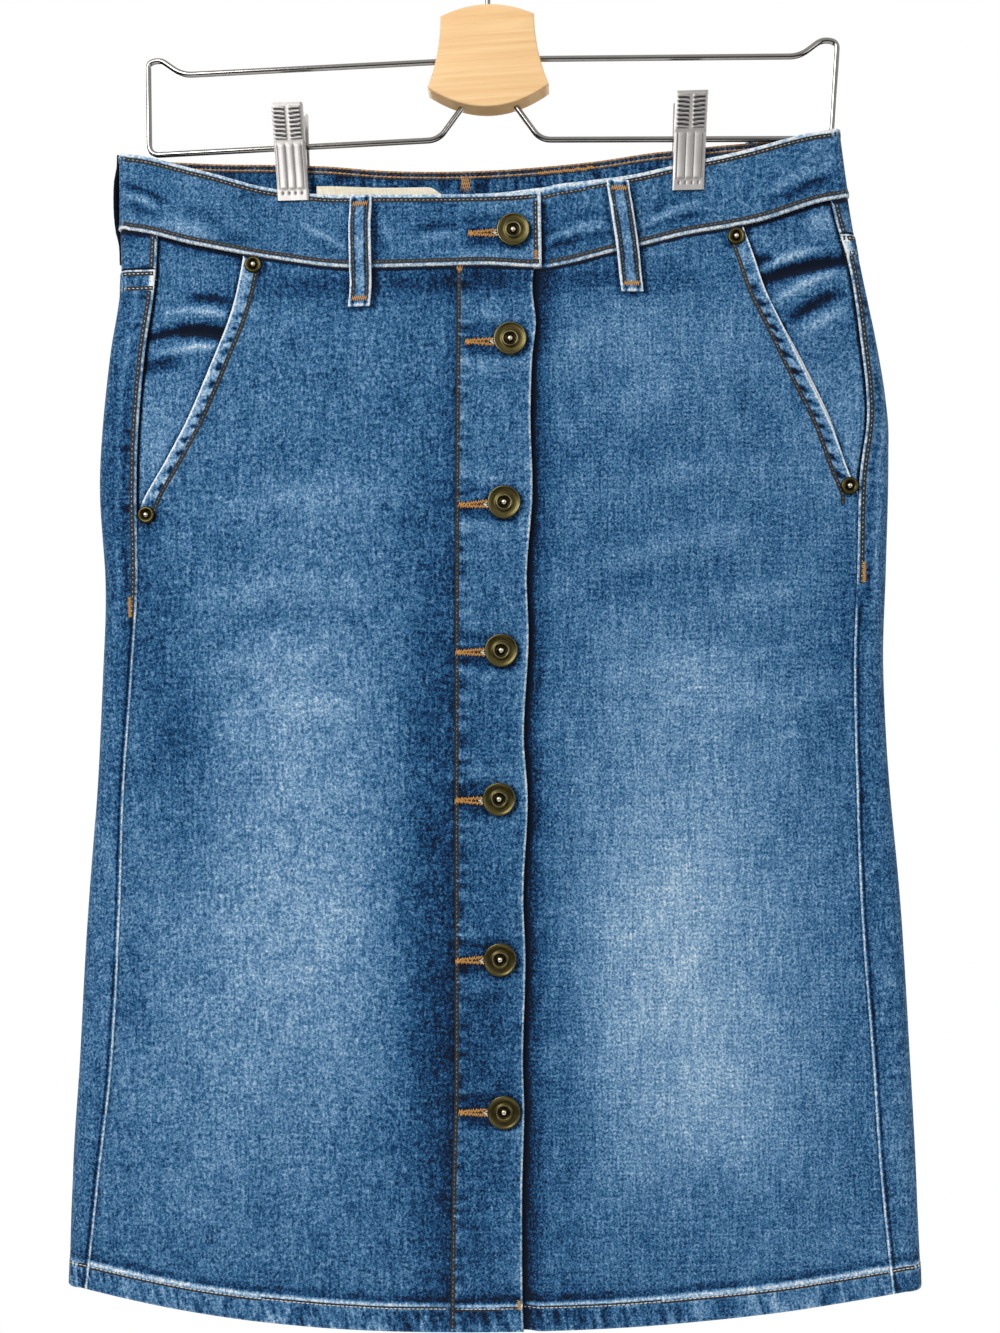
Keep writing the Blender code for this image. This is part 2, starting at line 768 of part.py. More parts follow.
def wire(name, path, radius, made_of):
    curve = bpy.data.curves.new(name, "CURVE")
    curve.dimensions = "3D"
    spline = curve.splines.new("POLY")
    spline.points.add(len(path) - 1)
    for point, place in zip(spline.points, path):
        point.co = (*(place * MM), 1.0)
    curve.bevel_depth = radius * MM
    curve.bevel_resolution = WIRE_SIDES_RESOLUTION
    curve.use_fill_caps = True
    curve.materials.append(made_of)
    made = bpy.data.objects.new(name, curve)
    bpy.context.scene.collection.objects.link(made)
    return made


def make_hook(steel):
    """A question mark of wire: a large arc over the rail, a small one back to the shank."""
    radius = HOOK_INNER_RADIUS + WIRE_RADIUS
    centre = (0.0, -HOOK_INNER_RADIUS)
    fall = math.sqrt(radius * radius + 2.0 * radius * HOOK_NECK_RADIUS)
    neck = (HOOK_NECK_RADIUS, centre[1] - fall)
    meet = math.degrees(math.atan2(fall, -HOOK_NECK_RADIUS))
    shank = [Vector((0.0, 0.0, -BLOCK_TOP + SEAM_GAP))]
    path = shank + arc(neck, HOOK_NECK_RADIUS, 180.0, meet, 5)
    path += arc(centre, radius, meet - 180.0, HOOK_TIP_ANGLE, 22)[1:]
    wire("hanger_hook", path, WIRE_RADIUS, steel)


def make_block():
    """The wooden centre, an upright outline of four arcs with softened edges."""
    top_left = (-BLOCK_TOP_HALF, 0.0, -BLOCK_SHOULDER)
    top_right = (BLOCK_TOP_HALF, 0.0, -BLOCK_SHOULDER)
    low_left = (-BLOCK_BOTTOM_HALF, 0.0, -BLOCK_CORNER)
    low_right = (BLOCK_BOTTOM_HALF, 0.0, -BLOCK_CORNER)
    outline = bulged(top_right, top_left, BLOCK_SHOULDER - BLOCK_TOP, 6)[:-1]
    outline += bulged(top_left, low_left, -BLOCK_SIDE_HOLLOW, 4)[:-1]
    outline += bulged(low_left, low_right, BLOCK_BOTTOM - BLOCK_CORNER, 8)[:-1]
    outline += bulged(low_right, top_right, -BLOCK_SIDE_HOLLOW, 4)[:-1]
    mesh = bpy.data.meshes.new("hanger_block")
    shape = bmesh.new()
    thick = Vector((0.0, BLOCK_THICK, 0.0)) * MM
    front = [shape.verts.new(point * MM - thick / 2) for point in outline]
    face = shape.faces.new(front)
    grown = bmesh.ops.extrude_face_region(shape, geom=[face])
    raised = [item for item in grown["geom"] if isinstance(item, bmesh.types.BMVert)]
    bmesh.ops.translate(shape, verts=raised, vec=thick)
    bmesh.ops.recalc_face_normals(shape, faces=shape.faces)
    shape.to_mesh(mesh)
    shape.free()
    block = add("hanger_block", mesh, material("pale beech", (0.80, 0.58, 0.33), 0.45))
    soften = block.modifiers.new("softened edges", "BEVEL")
    soften.width = BLOCK_EDGE * MM
    soften.segments = 1
    soften.limit_method = "ANGLE"
    soften.angle_limit = math.radians(50)


def block_side_x(drop):
    share = (drop - BLOCK_SHOULDER) / (BLOCK_CORNER - BLOCK_SHOULDER)
    hollow = BLOCK_SIDE_HOLLOW * 4.0 * share * (1.0 - share)
    return between(BLOCK_TOP_HALF, BLOCK_BOTTOM_HALF, share) - hollow


def bar_bottom_drop(x, arm):
    share = (abs(x) - DIAGONAL_FOOT) / (BAR_BOTTOM_END - DIAGONAL_FOOT)
    return between(BAR_BOTTOM_AT_BLOCK, BAR_BOTTOM_AT_END, share) + arm.lower_by


def make_wires(steel):
    """Each arm is one bent wire: out along the top, up over the shoulder, down, and back below."""
    for arm in ARMS:
        start = block_side_x(BAR_TOP_AT_BLOCK) + 0.5
        corners = [
            (start, BAR_TOP_AT_BLOCK),
            (BAR_TOP_END, BAR_TOP_AT_END),
            (SHOULDER_X, SHOULDER_DROP),
            (arm.post_top, SHOULDER_DROP + 1.5),
            (arm.post_foot, BAR_BOTTOM_AT_END + arm.lower_by),
            (DIAGONAL_FOOT, BAR_BOTTOM_AT_BLOCK + arm.lower_by),
            (DIAGONAL_HEAD, DIAGONAL_HEAD_DROP),
        ]
        places = [Vector((arm.sign * x, 0.0, -drop)) for x, drop in corners]
        wire(f"hanger_wire_{arm.side}", rounded(places, BEND_RADIUS, 4), WIRE_RADIUS, steel)


def clip_middle(drop):
    return between(CLIP_X_TOP, CLIP_X_BOTTOM, (drop - CLIP_TOP) / (CLIP_BOTTOM - CLIP_TOP))


def jaw_section(jaw):
    """The level section of a jaw, as (x off its middle, depth): a plate with two side flanges."""
    half, edge = CLIP_WIDTH / 2, CLIP_WIDTH / 2 - CLIP_SHEET
    inner, outer = jaw.depth, jaw.depth + CLIP_SHEET
    rim = max(jaw.depth - CLIP_FLANGE, PINCH_DEPTH + BAND_RISE + SEAM_GAP)
    outside = [(-half, rim), (-half, outer), (half, outer), (half, rim)]
    inside = [(edge, rim), (edge, inner), (-edge, inner), (-edge, rim)]
    return outside + inside


def make_clips(steel):
    """Two sprung clips: a front and a back jaw of folded sheet, and a coil round the lower bar."""
    for arm in ARMS:
        for face, turn in (("front", -1.0), ("back", 1.0)):
            name = f"clip_{arm.side}_{face}_jaw"
            mesh = bpy.data.meshes.new(name)
            shape = bmesh.new()
            rings = []
            for jaw in JAW:
                centre = arm.sign * clip_middle(jaw.drop)
                places = [Vector((centre + x, turn * y, -jaw.drop)) for x, y in jaw_section(jaw)]
                rings.append([shape.verts.new(place * MM) for place in places])
            for high, low in zip(rings, rings[1:]):
                for k in range(len(high)):
                    n = (k + 1) % len(high)
                    shape.faces.new((high[k], high[n], low[n], low[k]))
            shape.faces.new(rings[0])
            shape.faces.new(rings[-1])
            bmesh.ops.recalc_face_normals(shape, faces=shape.faces)
            shape.to_mesh(mesh)
            shape.free()
            add(name, mesh, steel)
        make_spring(f"clip_{arm.side}_spring", arm, steel)


def make_spring(name, arm, steel):
    """The coil as a plain sleeve on the lower bar."""
    bar = bar_bottom_drop(CLIP_X_TOP, arm)
    x = arm.sign * clip_middle(bar)
    mesh = bpy.data.meshes.new(name)
    shape = bmesh.new()
    rings = []
    inner, outer, half = SPRING_INNER, SPRING_OUTER, SPRING_LENGTH / 2
    for end, radius in ((-half, inner), (-half, outer), (half, outer), (half, inner)):
        ring = []
        for k in range(SPRING_SIDES):
            angle = math.tau * k / SPRING_SIDES
            off_bar = Vector((end, radius * math.cos(angle), radius * math.sin(angle)))
            ring.append(shape.verts.new((Vector((x, 0.0, -bar)) + off_bar) * MM))
        rings.append(ring)
    for first, second in zip(rings, rings[1:] + rings[:1]):
        for k in range(SPRING_SIDES):
            n = (k + 1) % SPRING_SIDES
            shape.faces.new((first[k], first[n], second[n], second[k]))
    bmesh.ops.recalc_face_normals(shape, faces=shape.faces)
    shape.to_mesh(mesh)
    shape.free()
    add(name, mesh, steel)


def main():
    clear_scene()
    make_fronts()
    make_pockets()
    make_back()
    make_hems()
    make_waistband()
    make_label()
    make_loops()
    make_buttons()
    make_rivets()
    steel = material("chromed steel", (0.72, 0.72, 0.72), 0.2, 1.0)
    make_hook(steel)
    make_block()
    make_wires(steel)
    make_clips(steel)


main()
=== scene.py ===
"""The looks of a button-front denim skirt clipped to a wire and wood skirt hanger.

The scene is in metres; the tables are in millimetres. The origin is the inside top of the hanger's
hook, so heights are drops below it. The cloth is one flattened tube, the same as the solids' one. A
spot on it is a drop with either of two measures: across is the distance round the tube from the
middle of the front, positive to the viewer's right, and around is that place as a share, 1 at the
right fold's front and 3 at the centre back. Every piece of cloth is a closed shell through such
spots, between two lifts off the tube, with its creases, its rubbing and its painted shade and light.
"""

import json
import math
from collections import namedtuple

import bpy
import numpy as np
from mathutils import Matrix, Vector
from mathutils.bvhtree import BVHTree

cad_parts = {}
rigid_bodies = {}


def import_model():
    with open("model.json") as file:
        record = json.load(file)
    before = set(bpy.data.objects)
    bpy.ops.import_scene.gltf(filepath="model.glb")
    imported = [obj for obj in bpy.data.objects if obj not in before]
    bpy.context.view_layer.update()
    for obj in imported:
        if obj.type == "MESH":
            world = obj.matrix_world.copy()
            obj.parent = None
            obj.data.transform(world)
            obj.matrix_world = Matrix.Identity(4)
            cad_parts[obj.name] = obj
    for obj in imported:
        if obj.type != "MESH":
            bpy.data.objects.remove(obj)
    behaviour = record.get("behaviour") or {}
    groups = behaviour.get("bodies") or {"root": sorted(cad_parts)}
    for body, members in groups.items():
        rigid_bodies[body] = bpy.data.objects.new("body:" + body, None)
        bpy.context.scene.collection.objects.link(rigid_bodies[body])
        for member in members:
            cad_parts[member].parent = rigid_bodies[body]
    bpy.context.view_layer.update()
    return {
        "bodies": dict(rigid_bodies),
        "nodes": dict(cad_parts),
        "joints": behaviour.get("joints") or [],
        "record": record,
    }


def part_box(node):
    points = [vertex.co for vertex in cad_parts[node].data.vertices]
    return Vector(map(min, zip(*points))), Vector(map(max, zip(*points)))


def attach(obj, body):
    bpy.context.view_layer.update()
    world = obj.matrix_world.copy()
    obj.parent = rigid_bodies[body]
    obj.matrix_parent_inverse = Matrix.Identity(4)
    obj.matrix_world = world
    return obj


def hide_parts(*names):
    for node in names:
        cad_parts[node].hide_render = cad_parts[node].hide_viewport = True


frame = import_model()

MM = 0.001

# The tube: drop, the x of its left and right side, how far in from them the left and right side seam
# lie, how deep the front and the back stand off the middle plane, and the radius of the folds.
LEVELS = (
    (130, -205.0, 189.5, 21, 10, 8.0, 8, 5.0),
    (178, -205.5, 195.5, 22, 10, 9.0, 10, 5.5),
    (212, -206.0, 201.5, 20.5, 7.3, 10.5, 13, 6.0),
    (248, -212.0, 208.5, 21, 9.5, 12.5, 16, 7.0),
    (290, -217.0, 214.5, 22, 12.3, 14.0, 20, 8.0),
    (325, -219.0, 214.5, 22.5, 16.8, 15.0, 21, 8.0),
    (376, -216.5, 212.5, 20, 16.8, 15.0, 21, 8.0),
    (425, -218.5, 210.5, 18.5, 17.2, 15.0, 20, 8.0),
    (490, -222.5, 213.0, 17, 19.3, 15.0, 19, 8.0),
    (560, -229.0, 218.5, 20.3, 23.2, 15.0, 18, 8.0),
    (640, -234.5, 222.0, 20.5, 21.8, 15.5, 18, 8.5),
    (700, -239.0, 224.5, 17.5, 21, 16.0, 18, 9.0),
    (790, -243.0, 227.0, 10.5, 15.5, 16.0, 18, 9.0),
)
# The waistband: the place around, the drop of its top and of its seam.
WAIST = (
    (-1.50, 139.0, 180.5), (-1.00, 139.0, 181.2), (-0.80, 148.5, 190.6), (-0.60, 158.8, 198.2),
    (-0.36, 164.8, 205.3), (0.00, 167.2, 206.4), (0.18, 165.9, 208.0), (0.37, 160.2, 199.7),
    (0.56, 152.3, 190.9), (0.77, 145.2, 184.9), (1.00, 136.5, 174.0), (2.00, 136.5, 174.5),
    (2.45, 143.0, 180.5), (3.00, 149.0, 186.0), (3.55, 145.0, 183.5), (4.00, 139.5, 180.5),
    (4.50, 139.0, 180.5),
)
HEM_DROP, HEM_RISE_AT_SIDES, HEM_POWER, HEM_TILT = 783.0, 20.0, 2.4, 3.5
YOKE_AT_LEFT, YOKE_AT_RIGHT, YOKE_AT_CENTRE = 203.0, 193.0, 246.0
WAIST_SEAM_FRONT = 204.5
CLOTH, BAND_CLOTH, BAND_RISE, SEAM_GAP = 1.2, 2.2, 0.6, 0.3
BAND_JOINT = 2.06
BULGE_POWER = 1.5
PINCH_DEPTH, PINCH_FLAT, PINCH_REACH, PINCH_FROM, PINCH_TO = 2.8, 13.0, 24.0, 168.0, 265.0

# The front opening.
PLACKET_CLOTH, PLACKET_RISE = 2.0, 0.4
PLACKET_AT_SEAM, PLACKET_AT_HEM = 24.5, 11.0
PLACKET_EDGE = (
    (204, 24.6), (212, 23.2), (222, 22.9), (238, 24.4), (258, 22.2), (291, 20.9), (331, 21.4),
    (374, 17.8), (410, 18.3), (461, 15.1), (497, 16.7), (547, 13.7), (584, 14.3), (637, 12.3),
    (665, 12.6), (710, 10.9), (779, 10.6), (790, 12.4),
)
PLACKET_LINE = ((204, -17.6), (310, -19.6), (486, -22.4), (652, -24.5), (696, -26.2), (790, -28.6))
BAND_LAP_END = 28.0
UNDERLAP, UNDERLAP_DEPTH, UNDERLAP_RISE = 36.0, 2.5, (1.0, 10.0)
Button = namedtuple("Button", "drop from_edge")
BUTTONS = (
    Button(188.0, 15.2),
    Button(247.5, 13.0),
    Button(335.9, 15.3),
    Button(415.6, 16.0),
    Button(495.6, 16.3),
    Button(581.9, 14.9),
    Button(663.8, 11.9),
)

# Pockets.
POCKET_END = 341.0
MOUTH_LEFT = (
    (193, 48.3), (201, 47.6), (234, 44.0), (258, 37.4), (287, 27.1), (309, 16.2), (330, 4.1),
    (341, 0.0),
)
MOUTH_RIGHT = ((190, 49.9), (220, 47.6), (244.5, 39.8), (278.5, 27.4), (310.5, 11.8), (334, 0.0))
FACING_LIFT, FACING_UNDERLAP, FACING_BELOW = -2.3, 14.0, 8.0
MOUTH_BAND = 8.5
LINING_TOP, LINING_BOTTOM = 238.0, 306.0
Rivet = namedtuple("Rivet", "side drop from_mouth")
RIVETS = {
    "rivet_left_top": Rivet("left", 201.5, 6.3),
    "rivet_left_bottom": Rivet("left", 338.5, 4.9),
    "rivet_right_top": Rivet("right", 192.5, 5.5),
    "rivet_right_bottom": Rivet("right", 329.5, 3.1),
}
TRIM_GAP = 0.6
TURN_UP = 12.0

# Belt loops.
LOOP_WIDTH, LOOP_LENGTH, LOOP_CLOTH = 12.0, 61.0, 1.8
LOOP_RISE = ((0, 1.0), (0.1, 1.2), (0.25, 3.0), (0.5, 3.4), (0.68, 2.4), (0.82, 0.5), (1, 0.4))
Loop = namedtuple("Loop", "around above_band lean")
LOOPS = {
    "belt_loop_front_left": Loop(-0.331, -1.1, -0.018),
    "belt_loop_front_right": Loop(0.389, -1.9, 0.006),
    "belt_loop_side_right": Loop(2.20, 2.0, 0.0),
    "belt_loop_back": Loop(3.0, 0.2, 0.0),
    "belt_loop_side_left": Loop(-1.90, 2.0, 0.0),
}

LABEL_LEFT, LABEL_RIGHT, LABEL_TOP, LABEL_BOTTOM, LABEL_CLOTH = -96.0, -25.0, 157.6, 177.0, 0.5

# The hanger.
WIRE_RADIUS = 1.6
HOOK_INNER_RADIUS, HOOK_NECK_RADIUS, HOOK_TIP_ANGLE = 20.0, 15.0, 200.0
BLOCK_TOP, BLOCK_SHOULDER, BLOCK_CORNER, BLOCK_BOTTOM = 63.2, 69.2, 107.8, 119.0
BLOCK_TOP_HALF, BLOCK_BOTTOM_HALF, BLOCK_SIDE_HOLLOW, BLOCK_THICK = 25.6, 33.2, 1.9, 15.0
BAR_TOP_AT_BLOCK, BAR_TOP_AT_END = 91.0, 94.0
BAR_BOTTOM_AT_BLOCK, BAR_BOTTOM_AT_END = 134.0, 138.0
SHOULDER_DROP, BAR_TOP_END, SHOULDER_X, BAR_BOTTOM_END = 85.3, 170.0, 182.0, 183.0
Arm = namedtuple("Arm", "side sign post_top post_foot lower_by")
ARMS = (Arm("left", -1.0, 189.0, 189.0, 0.0), Arm("right", 1.0, 190.2, 186.3, 1.4))
DIAGONAL_FOOT, DIAGONAL_HEAD, DIAGONAL_HEAD_DROP = 28.0, 14.9, 118.3
BEND_RADIUS = 6.0
CLIP_X_TOP, CLIP_X_BOTTOM, CLIP_TOP, CLIP_BOTTOM = 110.4, 108.0, 114.8, 166.7
CLIP_WIDTH, CLIP_SHEET, CLIP_FLANGE = 17.5, 1.6, 2.4
JAW = ((114.8, 9.5), (128, 7.6), (142, 5.6), (153.5, 4.4), (166.7, 4.1))
COIL_TURNS, COIL_LENGTH, COIL_RADIUS, COIL_WIRE = 7, 10.5, 2.7, 0.65
# A jaw's pressed marks, as shares of its length and of its half width: where each rises and falls.
PAD_SHARE, PAD_COLUMN, PAD_PITCH, PAD_RISE = (0.03, 0.05, 0.36, 0.38), (0.08, 0.16, 0.80, 0.88), 2.3, 0.42
RIB_SHARE, RIB_RISE, TEETH = (0.40, 0.44, 0.86, 0.90), 0.5, (-0.6, -0.2, 0.2, 0.6)

# Wear and creases, with painted shade and light. A tone is a place on DENIM_STOPS: 0.40 is the washed
# blue and 0.88 white.
PLAIN_TONE = 0.37
Patch = namedtuple("Patch", "x drop reach_x reach_drop tone")


def rows_of(kind, rows):
    return tuple(kind(*row) for row in rows)


# A patch is a soft oval of tone: the pale ones are fading, the dark ones under the waistband and along
# the sides are painted shade.
FRONT_PATCHES = rows_of(Patch, (
    (-112, 565, 50, 120, 0.17), (-104, 432, 46, 52, 0.09), (-95, 338, 38, 15, 0.08),
    (-185, 600, 30, 110, 0.05), (-36, 560, 17, 230, -0.15), (-30, 650, 34, 90, -0.05),
    (0, 620, 22, 70, -0.05), (-168, 468, 16, 44, -0.09), (34, 620, 15, 130, -0.07),
    (128, 655, 38, 30, 0.06), (-82, 560, 18, 18, 0.07), (-72, 690, 24, 26, -0.05),
    (-10, 772, 50, 9, -0.12), (50, 770, 30, 10, -0.08), (142, 768, 30, 9, 0.10),
    (176, 330, 24, 34, 0.04), (106, 672, 44, 30, 0.05), (-186, 425, 14, 85, -0.07),
    (-205, 330, 12, 90, -0.12), (-100, 745, 130, 32, -0.03), (98, 575, 56, 108, 0.23),
    (108, 440, 44, 32, 0.09), (100, 255, 60, 30, 0.05), (75, 745, 65, 35, -0.05),
    (200, 560, 16, 150, -0.05), (192, 400, 14, 60, -0.05), (-5, 560, 18, 240, -0.06),
    (30, 215, 90, 9, -0.10), (-60, 214, 120, 8, -0.12),
))
# On the back, the dark patches along the sides are painted shade.
BACK_PATCHES = rows_of(Patch, (
    (-95, 390, 60, 85, 0.17), (90, 395, 62, 80, 0.18), (-100, 610, 48, 100, 0.08),
    (104, 600, 50, 105, 0.09), (0, 480, 14, 220, -0.07), (0, 745, 200, 34, -0.05),
    (-195, 420, 20, 170, -0.06), (190, 430, 20, 160, -0.06),
))
# A soft ridge or trough along a line, tapered at its ends: its height in millimetres and its tone, a
# painted light on a ridge and a painted shade in a trough.
Fold = namedtuple("Fold", "x0 drop0 x1 drop1 half height tone")
BAND_FOLDS = rows_of(Fold, (
    (166, 168, 190, 160, 1.8, -0.9, -0.32), (149, 175, 190, 166, 2.4, -0.6, -0.16),
    (146, 170, 186, 159, 2.4, 0.5, 0.13), (-204, 155, -176, 167, 1.5, -0.7, -0.26),
    (-204, 160, -182, 170, 1.8, 0.6, 0.20), (-201, 166, -180, 176, 2.2, -0.6, -0.16),
    (-188, 176, -150, 188, 3.2, 0.5, 0.14), (-170, 170, -140, 184, 2.6, -0.5, -0.10),
    (-150, 190, -128, 186, 3.0, -0.4, -0.16), (-104, 180, -76, 197, 1.4, 0.5, 0.19),
    (-108, 184, -84, 199, 2.2, -0.5, -0.11), (28, 195, 66, 185, 1.8, 0.7, 0.22),
    (28, 199, 68, 190, 2.0, -0.6, -0.16), (30, 188, 60, 178, 2.2, -0.4, -0.10),
    (80, 187, 116, 173, 2.0, 0.7, 0.22), (78, 191, 118, 179, 2.2, -0.6, -0.16),
    (84, 181, 110, 168, 2.6, -0.4, -0.08), (-40, 192, -16, 189, 2.4, 0.6, 0.16),
    (-44, 187, -14, 184, 2.4, -0.5, -0.14), (-60, 176, -52, 200, 2.4, 0.5, 0.16),
    (-36, 199, -6, 201, 2.0, 0.4, 0.10),
))
FRONT_FOLDS = rows_of(Fold, (
    (-150, 336, -40, 330, 6.0, 0.5, 0.07), (-60, 345, -22, 350, 5.0, -0.3, -0.05),
    (-170, 388, -60, 379, 6.5, 0.6, 0.07), (-160, 403, -70, 398, 5.0, -0.5, -0.05),
    (-165, 423, -90, 419, 6.5, 0.5, 0.05), (-150, 452, -66, 446, 8.0, 0.5, 0.05),
    (-130, 490, -60, 497, 7.0, 0.3, 0.03), (-176, 300, -120, 306, 5.0, 0.3, 0.03),
    (30, 252, 92, 244, 6.0, 0.4, 0.05), (46, 286, 118, 276, 5.5, 0.5, 0.05),
    (24, 312, 110, 306, 6.0, -0.3, -0.03), (70, 331, 150, 318, 6.0, 0.5, 0.05),
    (60, 371, 150, 352, 5.0, 0.6, 0.08), (50, 386, 140, 372, 5.0, -0.5, -0.05),
    (90, 402, 182, 384, 5.5, 0.4, 0.05), (40, 436, 150, 420, 7.0, 0.5, 0.05),
    (120, 452, 190, 436, 6.0, 0.4, 0.04), (159, 451, 168, 441, 1.3, 0.1, 0.16),
    (-220, 505, -209, 583, 4.5, 0.7, 0.11), (-212, 530, -200, 640, 7.0, -0.6, -0.07),
    (-150, 520, -170, 775, 15.0, 1.0, 0.03), (-75, 560, -62, 780, 16.0, 1.1, 0.02),
    (-112, 620, -118, 782, 14.0, -0.9, -0.01), (62, 540, 50, 780, 16.0, 1.0, 0.02),
    (146, 560, 152, 782, 15.0, 1.0, 0.02), (104, 640, 100, 782, 14.0, -0.9, -0.01),
    (190, 520, 206, 760, 9.0, 0.9, 0.03),
))
BACK_FOLDS = rows_of(Fold, (
    (-150, 318, -50, 326, 6.0, 0.6, 0.05), (-165, 352, -70, 357, 6.0, 0.5, 0.05),
    (-140, 372, -60, 378, 5.0, -0.4, -0.04), (-176, 468, -90, 482, 8.0, 0.6, 0.04),
    (44, 300, 150, 312, 6.0, 0.5, 0.05), (60, 344, 166, 338, 6.0, 0.6, 0.05),
    (52, 366, 130, 361, 5.0, -0.4, -0.04), (88, 494, 182, 474, 8.0, 0.6, 0.04),
    (-62, 500, -54, 782, 17.0, 1.1, 0.02), (-150, 540, -166, 782, 15.0, 1.0, 0.02),
    (-110, 600, -108, 782, 13.0, -0.9, -0.01), (70, 520, 58, 782, 16.0, 1.0, 0.02),
    (140, 560, 152, 782, 15.0, 1.1, 0.02), (112, 640, 106, 782, 13.0, -0.8, -0.01),
))
FACING_FOLDS = rows_of(Fold, (
    (-168, 219, -143, 221, 2.6, -1.3, -0.34), (-181, 228, -160, 225.5, 1.9, 0.8, 0.24),
    (-165, 225.5, -143, 230, 2.2, 1.0, 0.30), (-193, 241.5, -165, 236.5, 2.4, -1.6, -0.50),
    (-173, 236.5, -140, 241, 3.3, -2.7, -0.80), (-189, 252, -165, 246.5, 2.1, 0.9, 0.28),
    (-170, 246.5, -147, 247.5, 2.4, 1.0, 0.32), (-197, 258, -170, 253, 4.4, -0.8, -0.30),
    (-192, 207, -172, 209, 3.0, -0.5, -0.08), (136, 207, 155, 205, 2.8, -1.1, -0.34),
    (142, 213, 180, 200, 2.4, 0.9, 0.28), (142, 218.5, 196, 206, 3.2, -2.7, -0.72),
    (172, 186, 192, 184, 8.0, 0.3, 0.15), (152, 230, 192, 211, 2.6, 0.9, 0.30),
    (161, 239, 192, 223, 2.8, -1.9, -0.46), (166, 247, 192, 234, 2.8, 0.7, 0.22),
))


def curve(rows):
    """A function that runs smoothly through (place, value) rows."""
    keys, values = np.array(rows, float).T
    order = np.arange(len(keys))
    before, after = np.maximum(order - 1, 0), np.minimum(order + 1, len(keys) - 1)
    slopes = (values[after] - values[before]) / (keys[after] - keys[before])

    def at(where):
        where = np.clip(where, keys[0], keys[-1])
        i = np.clip(np.searchsorted(keys, where, side="right") - 1, 0, len(keys) - 2)
        span, rise = keys[i + 1] - keys[i], values[i + 1] - values[i]
        t = (where - keys[i]) / span
        bend_in, bend_out = slopes[i] * span - rise, rise - slopes[i + 1] * span
        return values[i] + t * rise + t * (1 - t) * (bend_in * (1 - t) + bend_out * t)

    return at


def column(rows, index):
    return curve([(row[0], row[index]) for row in rows])


side_left, side_right, inset_left, inset_right, front_depth, back_depth, fold_radius = (
    column(LEVELS, i) for i in range(1, 8)
)
waist_top_at, waist_seam_at = column(WAIST, 1), column(WAIST, 2)
placket_edge, placket_line = curve(PLACKET_EDGE), curve(PLACKET_LINE)
loop_rise, jaw_depth = curve(LOOP_RISE), curve(JAW)
mouth_width_left, mouth_width_right = curve(MOUTH_LEFT), curve(MOUTH_RIGHT)


def smoothstep(start, end, value):
    share = np.clip((value - start) / (end - start), 0.0, 1.0)
    return share * share * (3.0 - 2.0 * share)


def window(rise_from, rise_to, fall_from, fall_to, value):
    """1 between the rise and the fall, and 0 outside them."""
    return smoothstep(rise_from, rise_to, value) * (1 - smoothstep(fall_from, fall_to, value))


def bell(off):
    return np.exp(-off * off)


def mix(start, end, share):
    return start + (end - start) * share


def wrapped(around):
    return (around + 1.5) % 6.0 - 1.5


def flat_half(drop):
    return (side_right(drop) - side_left(drop)) / 2 - fold_radius(drop)


def middle(drop):
    return (side_right(drop) + side_left(drop)) / 2


def across_of(around, drop):
    """The distance round the tube to a place around it. Left of the middle both are negative."""
    half, fold, turn = flat_half(drop), fold_radius(drop) * math.pi, np.abs(around)
    far = half * np.minimum(turn, 1) + fold * np.clip(turn - 1, 0, 1) + half * np.maximum(turn - 2, 0)
    return middle(drop) + np.sign(around) * far


def around_of(across, drop):
    half, fold = flat_half(drop), fold_radius(drop) * math.pi
    far = np.abs(across - middle(drop))
    past = np.maximum(far - half, 0.0)
    turn = np.minimum(far / half, 1.0) + np.minimum(past / fold, 1.0) + np.maximum(past - fold, 0) / half
    return np.copysign(turn, across - middle(drop))


def place_at(across, drop):
    """The place around of one spot, as a number."""
    return float(around_of(np.array(across), np.array(drop)))


def across_at_x(x, drop):
    """Across, for an x on the front or on the front half of a fold."""
    off, half, fold = x - middle(drop), flat_half(drop), fold_radius(drop)
    past = np.clip((np.abs(off) - half) / fold, 0.0, 1.0)
    return middle(drop) + np.sign(off) * (np.minimum(np.abs(off), half) + fold * np.arcsin(past))


def tube(around, drop):
    """The points of the tube at these places, in millimetres."""
    around = wrapped(around)
    half, fold, centre = flat_half(drop), fold_radius(drop), middle(drop)
    front = around <= 1.0
    side = np.where(front, around, 3.0 - around)
    x = centre + side * half
    deep = np.where(front, front_depth(drop), back_depth(drop))
    depth = fold + (deep - fold) * np.maximum(1.0 - side * side, 0.0) ** BULGE_POWER
    off_clip = np.maximum(np.abs(np.abs(x) - CLIP_X_BOTTOM) - PINCH_FLAT, 0.0) / PINCH_REACH
    depth = mix(depth, PINCH_DEPTH, bell(off_clip) * (1.0 - smoothstep(PINCH_FROM, PINCH_TO, drop)))
    y = np.where(front, -depth, depth)
    right, left = (around > 1.0) & (around < 2.0), (around < -1.0) | (around > 4.0)
    sign = np.where(right, 1.0, -1.0)
    turn = np.where(right, around - 1.0, np.where(around < -1.0, around + 2.0, around - 4.0)) * math.pi
    x = np.where(right | left, centre + sign * (half + fold * np.sin(turn)), x)
    y = np.where(right | left, -sign * fold * np.cos(turn), y)
    return np.stack([x, y, -drop + 0.0 * x], axis=-1)


def outward(around, drop):
    along = tube(around + 0.01, drop) - tube(around - 0.01, drop)
    down = tube(around, drop + 1.0) - tube(around, drop - 1.0)
    normal = np.cross(along, -down)
    return normal / np.linalg.norm(normal, axis=-1, keepdims=True)


def waist_top(around):
    return waist_top_at(wrapped(around))


def waist_seam(around):
    return waist_seam_at(wrapped(around))


def loop_top(loop):
    return float(waist_top(np.array(loop.around))) - loop.above_band


def sideways(around):
    """-1 to 1 from the left fold to the right fold, on the front and the back alike."""
    around = wrapped(around)
    back = np.where(around <= 2, 1, np.maximum(3 - around, -1))
    return np.where(around <= 1, np.maximum(around, -1), back)


